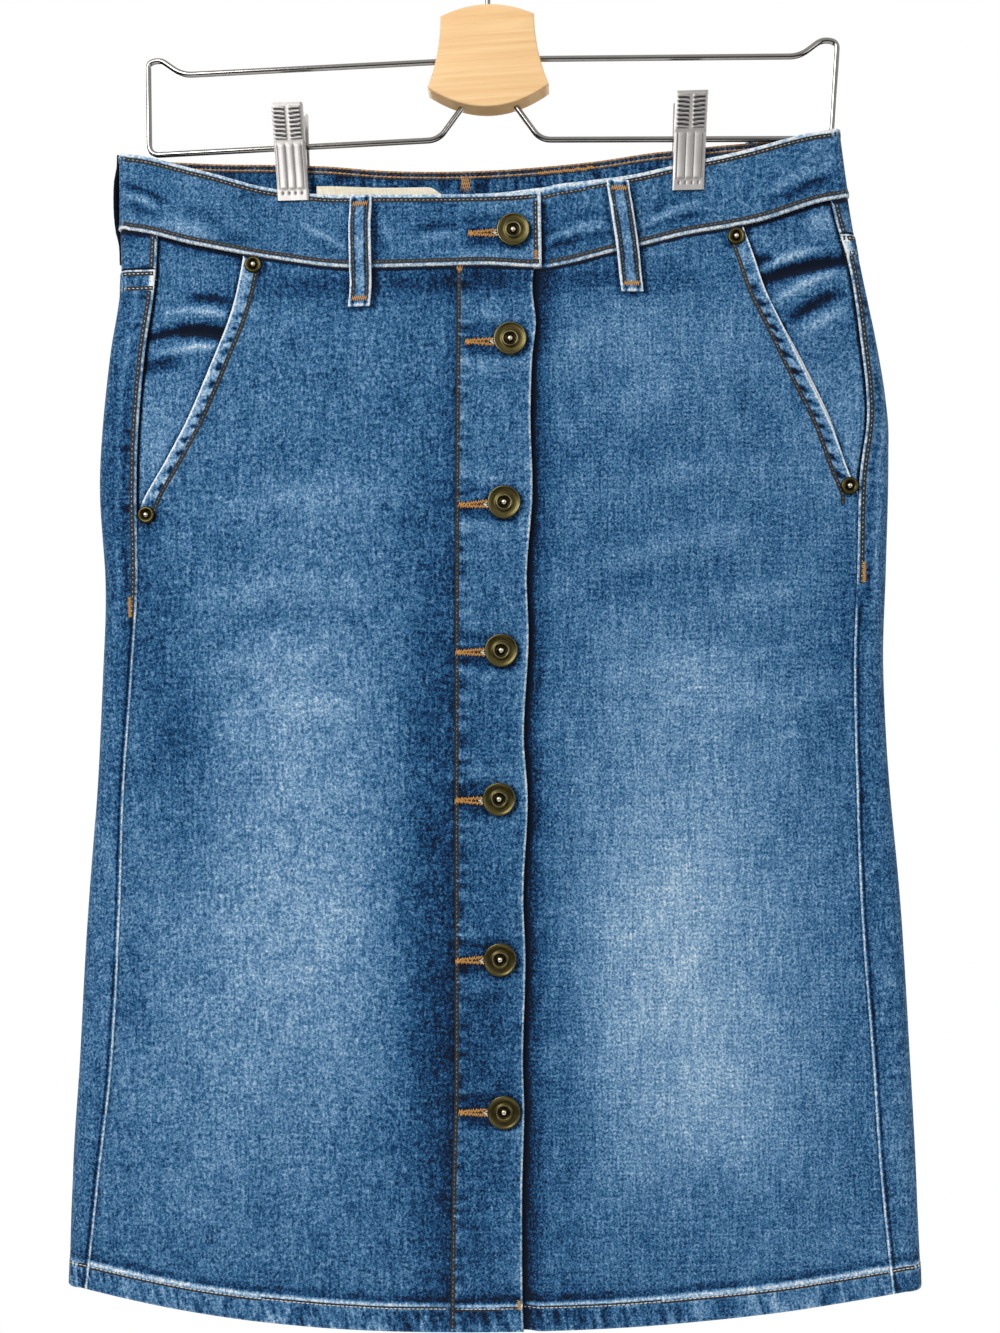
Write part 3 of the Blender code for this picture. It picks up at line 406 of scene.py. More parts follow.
def hem(around):
    share = sideways(around)
    rise = HEM_RISE_AT_SIDES * np.abs(share) ** HEM_POWER
    return HEM_DROP - rise - HEM_TILT * share * (1.0 - share * share)


def yoke_seam(around):
    at_side = np.where(sideways(around) < 0, YOKE_AT_LEFT, YOKE_AT_RIGHT)
    share = np.where(wrapped(around) <= 1.0, 0.0, 1.0 - np.abs(sideways(around)))
    return mix(at_side, YOKE_AT_CENTRE, share)


def moved(edge, distance):
    """The same edge this many millimetres further along."""
    return lambda where: edge(where) + distance


def level_at(drop):
    return lambda around: drop + 0.0 * around


def seam_left(drop):
    return across_at_x(side_left(drop) + inset_left(drop), drop)


def seam_right(drop):
    return across_at_x(side_right(drop) - inset_right(drop), drop)


def mouth_left(drop):
    return across_at_x(side_left(drop) + inset_left(drop) + mouth_width_left(drop), drop)


def mouth_right(drop):
    return across_at_x(side_right(drop) - inset_right(drop) - mouth_width_right(drop), drop)


def centre_back(sign):
    return lambda drop: across_of(np.full_like(drop, 3.0 * sign), drop)


# ---------------------------------------------------------------- creases and wear

def fold_sum(folds, x, drop):
    """The heights and tones of these folds together; the tones are painted light and shade."""
    height, tone = np.zeros_like(x), np.zeros_like(x)
    for fold in folds:
        run = np.array([fold.x1 - fold.x0, fold.drop1 - fold.drop0])
        length = np.hypot(*run)
        along = ((x - fold.x0) * run[0] + (drop - fold.drop0) * run[1]) / length
        off = ((x - fold.x0) * -run[1] + (drop - fold.drop0) * run[0]) / length
        bow = off + 0.04 * length * np.sin(np.clip(along / length, 0, 1) * math.pi)
        taper = np.sqrt(np.sin(np.clip(along / length, 0, 1) * math.pi))
        strength = bell(bow / fold.half) * taper
        height += fold.height * strength
        tone += fold.tone * strength
    return height, tone


def patch_sum(patches, x, drop):
    total = 0
    for patch in patches:
        off = np.hypot((x - patch.x) / patch.reach_x, (drop - patch.drop) / patch.reach_drop)
        total = total + patch.tone * bell(off)
    return total


def button_x(button):
    first = button.drop < WAIST_SEAM_FRONT
    share = (button.drop - WAIST_SEAM_FRONT) / (HEM_DROP - WAIST_SEAM_FRONT)
    edge = BAND_LAP_END if first else mix(PLACKET_AT_SEAM, PLACKET_AT_HEM, share)
    return edge - button.from_edge


def button_folds():
    """The cloth pulled by the buttons: a trough with painted shade over and under each hole, and small
    puckers painted light.
    """
    folds = []
    for number, button in enumerate(BUTTONS):
        x, drop = button_x(button), button.drop
        uneven = 1.0 + 0.25 * math.sin(number * 2.3)
        folds += [
            Fold(x - 28, drop - 5.5, x - 4, drop - 7, 2.4 * uneven, -0.6, -0.16),
            Fold(x - 28, drop + 6.0, x - 6, drop + 8, 2.4, -0.6, -0.14 * uneven),
            Fold(x - 30, drop - 13, x - 2, drop - 12, 3.6, 0.5, 0.07 * uneven),
            Fold(x - 30, drop + 14, x, drop + 15, 3.6, 0.5, 0.08),
            Fold(x - 6, drop + 11, x + 12, drop + 14, 2.6, 0.3, 0.05 * uneven),
        ]
    return tuple(folds)


BUTTON_FOLDS = button_folds()
# Where a shadow is painted round the rivets: x, drop and radius.
RIVET_SHADES = (
    (-190.6, 338.5, 5.2), (-129.6, 201.5, 5.2), (132.6, 192.5, 5.2), (193.2, 329.5, 5.2),
)


def surface_relief(around, drop, band=False):
    """The crease height and the tone of the main cloth, with painted shade and light in the tone."""
    x = tube(around, drop)[..., 0]
    front = np.abs(wrapped(around)) <= 1.5
    folds = (*(BAND_FOLDS if band else FRONT_FOLDS), *BUTTON_FOLDS)
    high, light = fold_sum(folds, x, drop)
    light = light + (0.0 if band else patch_sum(FRONT_PATCHES, x, drop))
    light = light + contact_shade(around, drop)
    back_high, back_light = (0.0, 0.0) if band else fold_sum(BACK_FOLDS, x, drop)
    back_light = back_light + (0.0 if band else patch_sum(BACK_PATCHES, x, drop))
    return np.where(front, high, back_high), PLAIN_TONE + np.where(front, light, back_light)


def contact_shade(around, drop):
    """The painted shadows beside the belt loops, round the buttons and rivets, and round each buttonhole.
    """
    across, shade = across_of(around, drop), 0.0
    x = tube(around, drop)[..., 0]
    front = np.abs(wrapped(around)) <= 1.2
    for name in ("belt_loop_front_left", "belt_loop_front_right"):
        loop = LOOPS[name]
        start = loop_top(loop)
        share = (drop - start) / LOOP_LENGTH
        off = across - across_of(loop.around + loop.lean * np.clip(share, 0, 1), drop)
        beside = 0.24 * bell((off - 7.6) / 1.8) + 0.15 * bell((off + 7.0) / 1.3)
        shade = shade - beside * smoothstep(-0.02, 0.05, share) * (1 - smoothstep(1.0, 1.03, share))
        shade = shade - 0.24 * bell((drop - start - LOOP_LENGTH - 0.9) / 1.5) * bell(off / 7.0) ** 2
    spots = [(button_x(button), button.drop, 9.4) for button in BUTTONS]
    for trim_x, trim_drop, radius in (*spots, *RIVET_SHADES):
        side, down = x - trim_x, drop - trim_drop
        away = np.hypot(side, down)
        lit = 1.0 + 0.7 * (side * 0.6 + down * 0.8) / np.maximum(away, 1.0)
        shade = shade - 0.17 * lit * bell((away - radius) / 1.2)
    for button in BUTTONS:
        side, down = x - button_x(button) + 16.5, drop - button.drop - 0.8
        shade = shade - 0.32 * bell(down / 2.9) * (1 - smoothstep(6.5, 9.5, np.abs(side)))
    return np.where(front, shade, 0.0)


def under_lap(across, drop, band):
    edge = BAND_LAP_END if band else placket_edge(drop)
    return -UNDERLAP_DEPTH * (1.0 - smoothstep(*UNDERLAP_RISE, across - edge))


# ---------------------------------------------------------------- meshes

TREES = {}
NARROW, NEAR_EDGE = 30.0, (0.0, 0.7, 1.4, 2.2)
BORDER_ROUND = 0.28
CLOTH_SEED = 7.0


def placed(name, data, material, nodes):
    """A new object of a mesh or a curve, riding on the body in place of these nodes."""
    data.materials.append(material)
    piece = bpy.data.objects.new(name, data)
    bpy.context.scene.collection.objects.link(piece)
    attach(piece, "root")
    if nodes:
        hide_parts(*nodes)
    return piece


def mesh_piece(name, points, faces, material, nodes, slot, **values):
    """A piece from points in millimetres, with these values at its points."""
    mesh = bpy.data.meshes.new(name)
    mesh.from_pydata((np.asarray(points) * MM).tolist(), [], [tuple(face) for face in faces])
    mesh.update()
    mesh.shade_smooth()
    for key, value in values.items():
        value = np.asarray(value, float)
        kind = "FLOAT_VECTOR" if value.ndim == 2 else "FLOAT"
        layer = mesh.attributes.new(key, kind, "POINT")
        layer.data.foreach_set("vector" if value.ndim == 2 else "value", value.ravel())
    return placed(name, mesh, material, nodes)


def ring_faces(count, rings):
    """The quads between rings of this many points each, one ring after another."""
    after = [(k + 1) % count for k in range(count)]
    return [
        (r * count + k, r * count + after[k], (r + 1) * count + after[k], (r + 1) * count + k)
        for r in range(rings - 1)
        for k in range(count)
    ]


def grid_faces(rows, columns):
    """The quads of a closed shell of two grids, the outer one first."""
    index = np.arange(rows * columns).reshape(rows, columns)
    back = index + rows * columns
    quads = [
        np.stack([index[:-1, :-1], index[1:, :-1], index[1:, 1:], index[:-1, 1:]], -1),
        np.stack([back[:-1, :-1], back[:-1, 1:], back[1:, 1:], back[1:, :-1]], -1),
    ]
    ring = np.concatenate([index[0, :-1], index[:-1, -1], index[-1, :0:-1], index[:0:-1, 0]])
    after = np.roll(ring, -1)
    quads.append(np.stack([ring, after, after + rows * columns, ring + rows * columns], -1))
    return np.concatenate([quad.reshape(-1, 4) for quad in quads])


def shares(length, step):
    """Even shares of a length, with more close to its ends, where cloth rounds off and is worn."""
    count = max(round(length / step), 2)
    if length > NARROW:
        near = np.array(NEAR_EDGE) / length
    else:
        near = np.array([0.0, min(0.8 / length, 0.35 / count)])
    even = np.linspace(0, 1, count + 1)
    even = even[(even > near[-1] + 0.3 / count) & (even < 1 - near[-1] - 0.3 / count)]
    return np.concatenate([near, even, 1 - near[::-1]])


def spread(left, right, top, bottom, step):
    """The spots of a piece of cloth between four edges: around and drop, a row for each level."""
    start = np.full(1, float(top(0.0) + bottom(0.0)) / 2)
    width = float((right(start) - left(start))[0])
    centre = around_of((left(start) + right(start)) / 2, start)
    height = float((bottom(centre) - top(centre))[0])
    sidewise, down = np.meshgrid(shares(width, step), shares(height, step))
    drop = top(centre) + height * down
    for _ in range(8):
        around = around_of(mix(left(drop), right(drop), sidewise), drop)
        drop = mix(top(around), bottom(around), down)
    return around, drop


# An edge of a piece: how white it is rubbed, or where negative how dark a painted shadow line along it
# is, how wide its doubled layer is, how puckered that is (across where negative), how far in the
# rubbing and the shadow reach, how pale the layer is, how strong the ridge past its stitches is, its
# crest rubbed pale with a painted shadow beyond, and the drop where all this ends.
Edge = namedtuple(
    "Edge", "wear double rope reach pale ridge until", defaults=(0, 0, 0, 1.25, 0, 0, 9999)
)
DOUBLE_RISE = 0.45


def edge_marks(across, drop, edges):
    """How rubbed, raised, puckered and pale the cloth is near its edges, with painted shadow lines."""
    distance = {
        "left": across - across[:, :1],
        "right": across[:, -1:] - across,
        "top": drop - drop[:1],
        "bottom": drop[-1:] - drop,
    }
    wear, raised, rope, tone = (np.zeros_like(drop) for _ in range(4))
    for side, edge in edges.items():
        off = distance[side]
        there = 1.0 - smoothstep(edge.until - 6.0, edge.until + 2.0, drop)
        # A negative value paints a dark shadow line along the edge.
        worn = edge.wear * (1.0 - smoothstep(0.55 * edge.reach, 1.5 * edge.reach, off)) * there
        wear = np.where(np.abs(worn) > np.abs(wear), worn, wear)
        if edge.double:
            inside = (1.0 - smoothstep(edge.double - 1.0, edge.double + 0.6, off)) * there
            crest = bell((off - edge.double - 2.1) / 1.3)
            raised = np.maximum(raised, inside)
            raised = raised + edge.ridge * 0.8 * crest
            near = 1.0 - smoothstep(edge.double * 0.8, edge.double * 1.3, off)
            puckered = edge.rope * near * there
            rope = np.where(np.abs(puckered) > np.abs(rope), puckered, rope)
            tone += edge.pale * inside
            # A ridge's crest is rubbed pale, and past it a shadow is painted.
            tone += edge.ridge * (0.55 * crest - 0.17 * bell((off - edge.double - 5.4) / 2.4))
    return wear, raised, rope, tone


def shell(name, spots, lift, thick, material, edges, slot, relief=None, reverse=1.0):
    """A closed shell of cloth through spots, its outer face at this lift, its border rounded."""
    around, drop = spots
    across = across_of(around, drop)
    high, tone = surface_relief(around, drop) if relief is None else relief(around, drop, across)
    wear, raised, rope, pale = edge_marks(across, drop, edges)
    tone = tone + pale
    border = np.zeros_like(drop)
    border[[0, -1]] = 1.0
    border[:, [0, -1]] = 1.0
    outer = lift + high + DOUBLE_RISE * raised - BORDER_ROUND * thick * border
    inner = lift + high - thick + BORDER_ROUND * thick * border
    place, normal = tube(around, drop), outward(around, drop)
    points = np.concatenate(
        [(place + normal * face[..., None]).reshape(-1, 3) for face in (outer, inner)]
    )
    both = lambda value: np.concatenate([value.ravel(), value.ravel()])
    seed = np.full(2 * drop.size, sum(map(ord, name)) * CLOTH_SEED)
    cloth = np.stack([both(across), both(drop), seed], -1)
    faces = grid_faces(*drop.shape)
    inside = np.concatenate([np.zeros(drop.size), np.full(drop.size, reverse)])
    piece = mesh_piece(
        name + "_cloth", points, faces, material, (name,), slot,
        cloth=cloth * MM, tone=both(tone), wear=both(wear), rope=both(rope), inside=inside,
    )
    TREES[name] = BVHTree.FromPolygons(points.tolist(), faces.tolist())
    return piece


# ---------------------------------------------------------------- materials

def ink(material_name, rough=0.8, metallic=0.0, **fixed):
    """A new material, its shader, and a helper that adds nodes to it."""
    made = bpy.data.materials.new(material_name)
    made.use_nodes = True
    tree = made.node_tree
    shader = tree.nodes["Principled BSDF"]
    shader.inputs["Roughness"].default_value = rough
    shader.inputs["Metallic"].default_value = metallic
    for key, value in fixed.items():
        shader.inputs[key.replace("_", " ")].default_value = value

    def node(kind, inputs=(), **settings):
        made_node = tree.nodes.new("ShaderNode" + kind)
        for key, value in settings.items():
            setattr(made_node, key, value)
        for key, value in dict(inputs).items():
            if isinstance(value, bpy.types.NodeSocket):
                tree.links.new(value, made_node.inputs[key])
            else:
                made_node.inputs[key].default_value = value
        return made_node

    def math_node(operation, first, second=0.0, third=0.0):
        return node("Math", {0: first, 1: second, 2: third}, operation=operation).outputs[0]

    def noise(coordinates, scale, stretch=(1, 1, 1), detail=2.0, rough_noise=0.55):
        mapped = node("Mapping", {"Vector": coordinates, "Scale": [s * scale for s in stretch]})
        settings = {"Scale": 1.0, "Detail": detail, "Roughness": rough_noise}
        texture = node("TexNoise", {"Vector": mapped.outputs[0], **settings})
        return math_node("SUBTRACT", texture.outputs["Fac"], 0.5)

    def layers(start, *parts):
        """The start with (value, strength) parts added to it."""
        for value, strength in parts:
            start = math_node("MULTIPLY_ADD", value, strength, start)
        return start

    def ramp(value, stops):
        made_ramp = node("ValToRGB", {"Fac": value})
        band = made_ramp.color_ramp
        while len(band.elements) > 1:
            band.elements.remove(band.elements[-1])
        for number, (place, colour) in enumerate(stops):
            element = band.elements[0] if number == 0 else band.elements.new(place)
            element.position = place
            element.color = (*linear(colour), 1.0)
        return made_ramp.outputs["Color"]

    def attribute(attribute_name, output="Fac"):
        return node("Attribute", attribute_name=attribute_name).outputs[output]

    def bump(height, distance_mm, strength=1.0):
        relief = node("Bump", {"Height": height, "Strength": strength, "Distance": distance_mm * MM})
        tree.links.new(relief.outputs[0], shader.inputs["Normal"])

    def paint(socket, value):
        tree.links.new(value, shader.inputs[socket])

    kit = namedtuple("Kit", "node math noise layers ramp attribute bump paint")
    return made, kit(node, math_node, noise, layers, ramp, attribute, bump, paint)


def linear(colour):
    """Linear light from a colour given as three numbers of 0 to 255."""
    parts = [c / 255 for c in colour]
    return [c / 12.92 if c <= 0.04045 else ((c + 0.055) / 1.055) ** 2.4 for c in parts]


DENIM_STOPS = (
    (0.06, (1, 14, 34)),
    (0.16, (3, 38, 76)),
    (0.24, (12, 62, 104)),
    (0.32, (34, 86, 127)),
    (0.40, (62, 107, 147)),
    (0.48, (87, 128, 166)),
    (0.56, (112, 150, 184)),
    (0.64, (137, 171, 201)),
    (0.76, (184, 204, 217)),
    (0.88, (236, 239, 240)),
)
DENIM_BACK_STOPS = ((0.3, (96, 118, 146)), (0.5, (142, 160, 181)), (0.7, (190, 200, 210)))


def denim_material():
    """Washed twill: yarn streaks, a mottle, seam puckers, pale rubbed edges, painted shade and light, a
    paler back.
    """
    made, k = ink(
        "washed_denim", 0.9, Sheen_Weight=0.06, Sheen_Roughness=0.6, Specular_IOR_Level=0.12
    )
    cloth = k.attribute("cloth", "Vector")
    turned_by = lambda degrees: k.node(
        "Mapping", {"Vector": cloth, "Rotation": (0, 0, math.radians(degrees))}
    ).outputs[0]
    warp = k.noise(cloth, 1.0, (620, 55, 1), 2.0)
    weft = k.noise(cloth, 1.0, (60, 620, 1), 2.0)
    mottle = k.noise(cloth, 300, (1, 1, 0.01), 2.0, 0.7)
    clouds = k.noise(cloth, 50, (1, 0.8, 0.01), 3.0)
    flecks = k.noise(cloth, 820, (1, 0.8, 0.01), 2.0, 0.6)
    loops = k.math("ABSOLUTE", k.noise(cloth, 560, (1, 0.85, 0.01), 1.0))
    loops = k.math("MAXIMUM", k.math("SUBTRACT", 0.75, k.math("MULTIPLY", loops, 13.0)), -0.6)
    waves = {"Vector": turned_by(63), "Scale": 290.0, "Distortion": 1.6, "Detail": 1.0}
    twill = k.node("TexWave", waves).outputs["Fac"]
    grain = k.layers(
        k.math("MULTIPLY", warp, 0.30),
        (weft, 0.20), (mottle, 0.13), (clouds, 0.17), (flecks, 0.70), (loops, 0.13), (twill, 0.035),
    )
    rope = k.attribute("rope")
    down = k.math("MAXIMUM", rope, 0.0)
    across = k.math("MAXIMUM", k.math("MULTIPLY", rope, -1.0), 0.0)
    streaks = k.math("MULTIPLY", k.noise(turned_by(14), 1.0, (300, 60, 1), 2.0, 0.6), down)
    blots = k.math("MULTIPLY_ADD", k.noise(cloth, 1.0, (110, 240, 1), 1.0), -7.0, -0.55)
    blots = k.node("Clamp", {"Value": blots, "Min": -0.25, "Max": 0.9}).outputs[0]
    puckers = k.math("MULTIPLY_ADD", k.math("MULTIPLY", blots, across), -0.42, streaks)
    # That attribute is pale rubbing where positive and a painted shadow line where negative.
    wear = k.math("MULTIPLY", k.attribute("wear"), k.math("MULTIPLY_ADD", mottle, 0.9, 0.95))
    tone = k.layers(k.math("ADD", k.attribute("tone"), grain), (puckers, 0.95), (wear, 0.50))
    blue = k.ramp(tone, DENIM_STOPS)
    pale = k.ramp(k.math("MULTIPLY_ADD", grain, 0.9, 0.5), DENIM_BACK_STOPS)
    shown = k.node("MixRGB", {"Fac": k.attribute("inside"), "Color1": blue, "Color2": pale})
    k.paint("Base Color", shown.outputs[0])
    height = k.math("MULTIPLY_ADD", puckers, 2.6, k.math("MULTIPLY_ADD", twill, 0.12, grain))
    k.bump(height, 0.6, 0.9)
    return made


def cotton_material(name, dark, light):
    weave = 900
    made, k = ink(name, 0.92, Sheen_Weight=0.2, Sheen_Roughness=0.5, Specular_IOR_Level=0.2)
    cloth = k.attribute("cloth", "Vector")
    warp, weft = (k.noise(cloth, weave, stretch) for stretch in ((1, 0.12, 1), (0.12, 1, 1)))
    threads = k.math("ADD", warp, weft)
    tone = k.math("MULTIPLY_ADD", threads, 0.9, 0.5)
    k.paint("Base Color", k.ramp(tone, ((0.25, dark), (0.75, light))))
    k.bump(threads, 0.3, 0.6)
    return made


def thread_material(name, dark, light):
    """Twisted sewing thread, with slanted strands and a tone that varies from stitch to stitch."""
    made, k = ink(name, 0.6, Sheen_Weight=0.2, Sheen_Roughness=0.4)
    here = k.node("TexCoord").outputs["Object"]
    waves = {"Vector": here, "Scale": 700.0, "Distortion": 2.0}
    twist = k.node("TexWave", waves, bands_direction="DIAGONAL").outputs["Fac"]
    tone = k.math("MULTIPLY_ADD", twist, 0.35, k.attribute("tone"))
    k.paint("Base Color", k.ramp(tone, ((0.1, dark), (1.0, light))))
    k.bump(twist, 0.15, 0.7)
    return made


def brass_material():
    """Antique brass: brushed in fine rings, dark in the hollows, rubbed bright on the high parts, a
    painted highlight on the nubs.
    """
    made, k = ink("antique_brass", 0.36, 1.0)
    here = k.attribute("turned", "Vector")
    wear = k.attribute("tone")
    specks = k.noise(here, 900, (1, 1, 1), 3.0)
    rings = k.noise(here, 1.0, (2600, 0.0, 120), 1.0)
    tone = k.math("MULTIPLY_ADD", specks, 0.35, k.math("MULTIPLY_ADD", rings, 0.12, wear))
    stops = ((0.05, (12, 9, 5)), (0.35, (58, 52, 28)), (0.6, (94, 86, 52)), (0.95, (224, 214, 194)))
    k.paint("Base Color", k.ramp(tone, stops))
    k.paint("Roughness", k.math("MULTIPLY_ADD", specks, 0.35, 0.36))
    k.bump(k.math("MULTIPLY_ADD", rings, 0.5, specks), 0.06, 0.5)
    return made


def steel_material(name, rough, low, high, hollows=False):
    """Chromed steel with faint draw lines and smudges, and painted shade in the hollows of a pressed
    piece.
    """
    made, k = ink(name, rough, 1.0)
    here = k.node("TexCoord").outputs["Object"]
    lines = k.noise(here, 1.0, (500, 500, 40), 2.0)
    smudge = k.noise(here, 60, (1, 1, 1), 3.0)
    tone = k.math("MULTIPLY_ADD", smudge, 0.5, 0.5)
    colour = k.ramp(tone, ((0.2, low), (0.8, high)))
    if hollows:
        # The tone paints shade into the hollows.
        mixed = {"Fac": k.attribute("tone"), "Color1": colour, "Color2": (0.012, 0.012, 0.014, 1)}
        colour = k.node("MixRGB", mixed).outputs[0]
    k.paint("Base Color", colour)
    k.paint("Roughness", k.math("MULTIPLY_ADD", lines, 0.12, rough))
    k.bump(lines, 0.008, 0.3)
    return made


BEECH_STOPS = (
    (0.1, (205, 154, 96)), (0.4, (238, 192, 136)), (0.6, (246, 206, 152)), (0.9, (252, 222, 178)),
)


def wood_material():
    """Pale beech, its grain level, with short dark flecks and a satin lacquer."""
    made, k = ink("pale_beech", 0.5, Specular_IOR_Level=0.25)
    here = k.node("TexCoord").outputs["Object"]
    bent = k.node("Mapping", {"Vector": here, "Rotation": (0, math.radians(2), 0)}).outputs[0]
    rings = k.noise(bent, 1.0, (9, 30, 330), 4.0, 0.6)
    lines = k.noise(bent, 1.0, (30, 100, 1500), 2.0)
    flecks = k.noise(bent, 1.0, (260, 500, 2600), 1.0)
    fleck = k.math("GREATER_THAN", flecks, 0.235)
    tone = k.math("MULTIPLY_ADD", lines, 0.3, k.math("MULTIPLY_ADD", rings, 0.75, 0.5))
    tone = k.math("MULTIPLY_ADD", fleck, -0.12, tone)
    k.paint("Base Color", k.ramp(tone, BEECH_STOPS))
    k.bump(k.math("ADD", lines, rings), 0.12, 0.4)
    return made


# ---------------------------------------------------------------- the skirt


TOP_GAP, HALF_GAP = 0.15, 0.05
CLOTH_STEP = 2.1
TACKED_DOWN_LEFT, TACKED_DOWN_RIGHT = 383.0, 370.0


def make_fronts(denim):
    """The two fronts, the placket that laps them, and the turned-up hems inside them."""
    def seam_mark(off, drop):
        """The dark line of a side seam below the pocket."""
        low = smoothstep(POCKET_END - 2, POCKET_END + 4, drop)
        return -0.16 * low * bell(off / 0.9)

    def mouth_puckers(off, drop):
        """Gathers along a pocket mouth's stitches with painted shade in them, denser and deeper lower
        down.
        """
        wave = np.sin(drop * 0.80 + 1.3 * np.sin(drop * 0.13) + off * 0.25)
        strength = window(205, 235, POCKET_END - 12, POCKET_END - 4, drop)
        return -strength * smoothstep(0.1, 0.7, wave) * bell((off - 5.9) / 2.3)

    def beside_placket(around, drop, across):
        high, tone = surface_relief(around, drop)
        off = across - mouth_left(drop)
        puckers = mouth_puckers(off, drop)
        tone = tone - 0.09 * bell((across - placket_line(drop)) / 6.0) + seam_mark(off, drop)
        return high + 0.4 * puckers, tone + 0.6 * puckers

    def placket(around, drop, across):
        high, tone = surface_relief(around, drop)
        # The ripples by the stitch line are painted lighter on their crests and darker in their troughs.
        near_line = bell((across - placket_line(drop) - 3.0) / 4.0)
        ripple = near_line * np.sin(drop * 0.62 + np.sin(drop * 0.21) * 2.0)
        return high + 0.3 * ripple, tone + 0.12 * ripple

    def right_front(around, drop, across):
        high, tone = surface_relief(around, drop)
        off = across - placket_edge(drop)
        # Right of the placket's edge the cloth is darker: a painted shadow of the edge, and darker
        # unfaded denim under the lap.
        shade = 0.42 * bell((off - 0.6) / 2.0) + 0.17 * bell((off - 3.0) / 7.0)
        off = mouth_right(drop) - across
        puckers = mouth_puckers(off, drop)
        tone = tone - shade + seam_mark(off, drop) + 0.6 * puckers
        return high + under_lap(across, drop, False) + 0.4 * puckers, tone

    pocket = Edge(0.95, MOUTH_BAND, -0.35, 0.9, 0.22, until=POCKET_END - 6.0)
    plainer_pocket = Edge(0.95, MOUTH_BAND, -0.35, 0.9, 0.10, until=POCKET_END - 6.0)
    # The hem's ridge is rubbed pale, with a painted shadow above it.
    hemmed = Edge(0.2, TURN_UP, 0.9, 0.8, ridge=1.0)
    # The top edges get a painted shadow line under the waistband.
    under_band = Edge(-1.1, 4.0, 0.3, 1.5)
    top = moved(waist_seam, TOP_GAP)
    left = shell(
        "front_panel_left",
        spread(mouth_left, moved(placket_line, -HALF_GAP), top, hem, CLOTH_STEP), 0.0, CLOTH, denim,
        {"left": pocket, "bottom": hemmed, "top": under_band}, "denim_front", beside_placket,
    )
    lap = moved(placket_edge, -UNDERLAP)
    right = shell(
        "front_panel_right",
        spread(lap, moved(mouth_right, -HALF_GAP), top, hem, CLOTH_STEP), 0.0, CLOTH, denim,
        {"right": plainer_pocket, "bottom": hemmed, "top": under_band}, "denim_front", right_front,
    )
    strip = shell(
        "button_placket",
        spread(moved(placket_line, HALF_GAP), placket_edge, top, hem, 1.8), PLACKET_RISE,
        PLACKET_CLOTH, denim,
        {"right": Edge(0.75, 3.0, -0.3, 0.9), "bottom": hemmed, "left": Edge(0.3, 3.0, -0.5),
         "top": under_band},
        "denim_front", placket,
    )

    def inner_hem(name, from_edge, to_edge):
        spots = spread(from_edge, to_edge, moved(hem, -TURN_UP), moved(hem, -0.4), 3.0)
        piece = shell(
            name, spots, -CLOTH - SEAM_GAP, CLOTH, denim, {"top": Edge(0.3, 2.0, 0.3)},
            "denim_front", reverse=0.0,
        )
        across = across_of(*spots)

    past = UNDERLAP_RISE[1]
    inner_hem("hem_front_left", moved(seam_left, 2.0), moved(placket_line, -1.0))
    inner_hem("hem_front_right", moved(placket_edge, past), moved(seam_right, -2.0))
    inner_hem("hem_back_left", moved(centre_back(-1.0), 0.5), moved(seam_left, -0.5))
    inner_hem("hem_back_right", moved(seam_right, 0.5), moved(centre_back(1.0), -0.5))


def plain(around, drop, across):
    return np.zeros_like(drop), np.full_like(drop, 0.5)


def make_pockets(denim, cotton):
    """The facings that show in the pocket mouths, and the lining's edge in the right one."""
    def creased(around, drop, across):
        high, tone = fold_sum(FACING_FOLDS, across, drop)
        below = smoothstep(245, 300, drop)
        near_band = bell((drop - waist_seam(around)) / 5.0)
        beside = np.minimum(np.abs(across - mouth_left(drop)), np.abs(across - mouth_right(drop)))
        # Painted shade under the waistband and along the mouth, the creases' painted light and shade, and
        # a paler lower part.
        return high, PLAIN_TONE + tone + 0.10 * below - 0.10 * near_band - 0.30 * bell(beside / 2.0)

    end = level_at(POCKET_END + FACING_BELOW)
    top = moved(waist_seam, TOP_GAP)
    left = (moved(seam_left, HALF_GAP), moved(mouth_left, FACING_UNDERLAP))
    right = (moved(mouth_right, -FACING_UNDERLAP), moved(seam_right, -HALF_GAP))
    for side, edges in (("left", left), ("right", right)):
        # Dark lines are painted along the facing's side and top edges, the top one as the waistband's
        # shadow.
        piece = shell(
            f"pocket_facing_{side}", spread(*edges, top, end, 1.6), FACING_LIFT, CLOTH, denim,
            {side: Edge(-0.85, 0, 0, 0.9), "top": Edge(-0.8, 0, 0, 1.5)}, "denim_front", creased,
        )

    def lining_edge(drop):
        share = np.clip((drop - LINING_TOP) / (LINING_BOTTOM - LINING_TOP), 0, 1)
        return mouth_right(drop) + 2.2 * np.sin(share * math.pi) ** 0.6 - 0.3

    start, stop = level_at(LINING_TOP), level_at(LINING_BOTTOM)
    piece = shell(
        "pocket_lining_right", spread(moved(mouth_right, -8.2), lining_edge, start, stop, 1.5),
        -CLOTH - SEAM_GAP - 0.15, 0.5, cotton, {}, "cotton_lining", plain,
    )


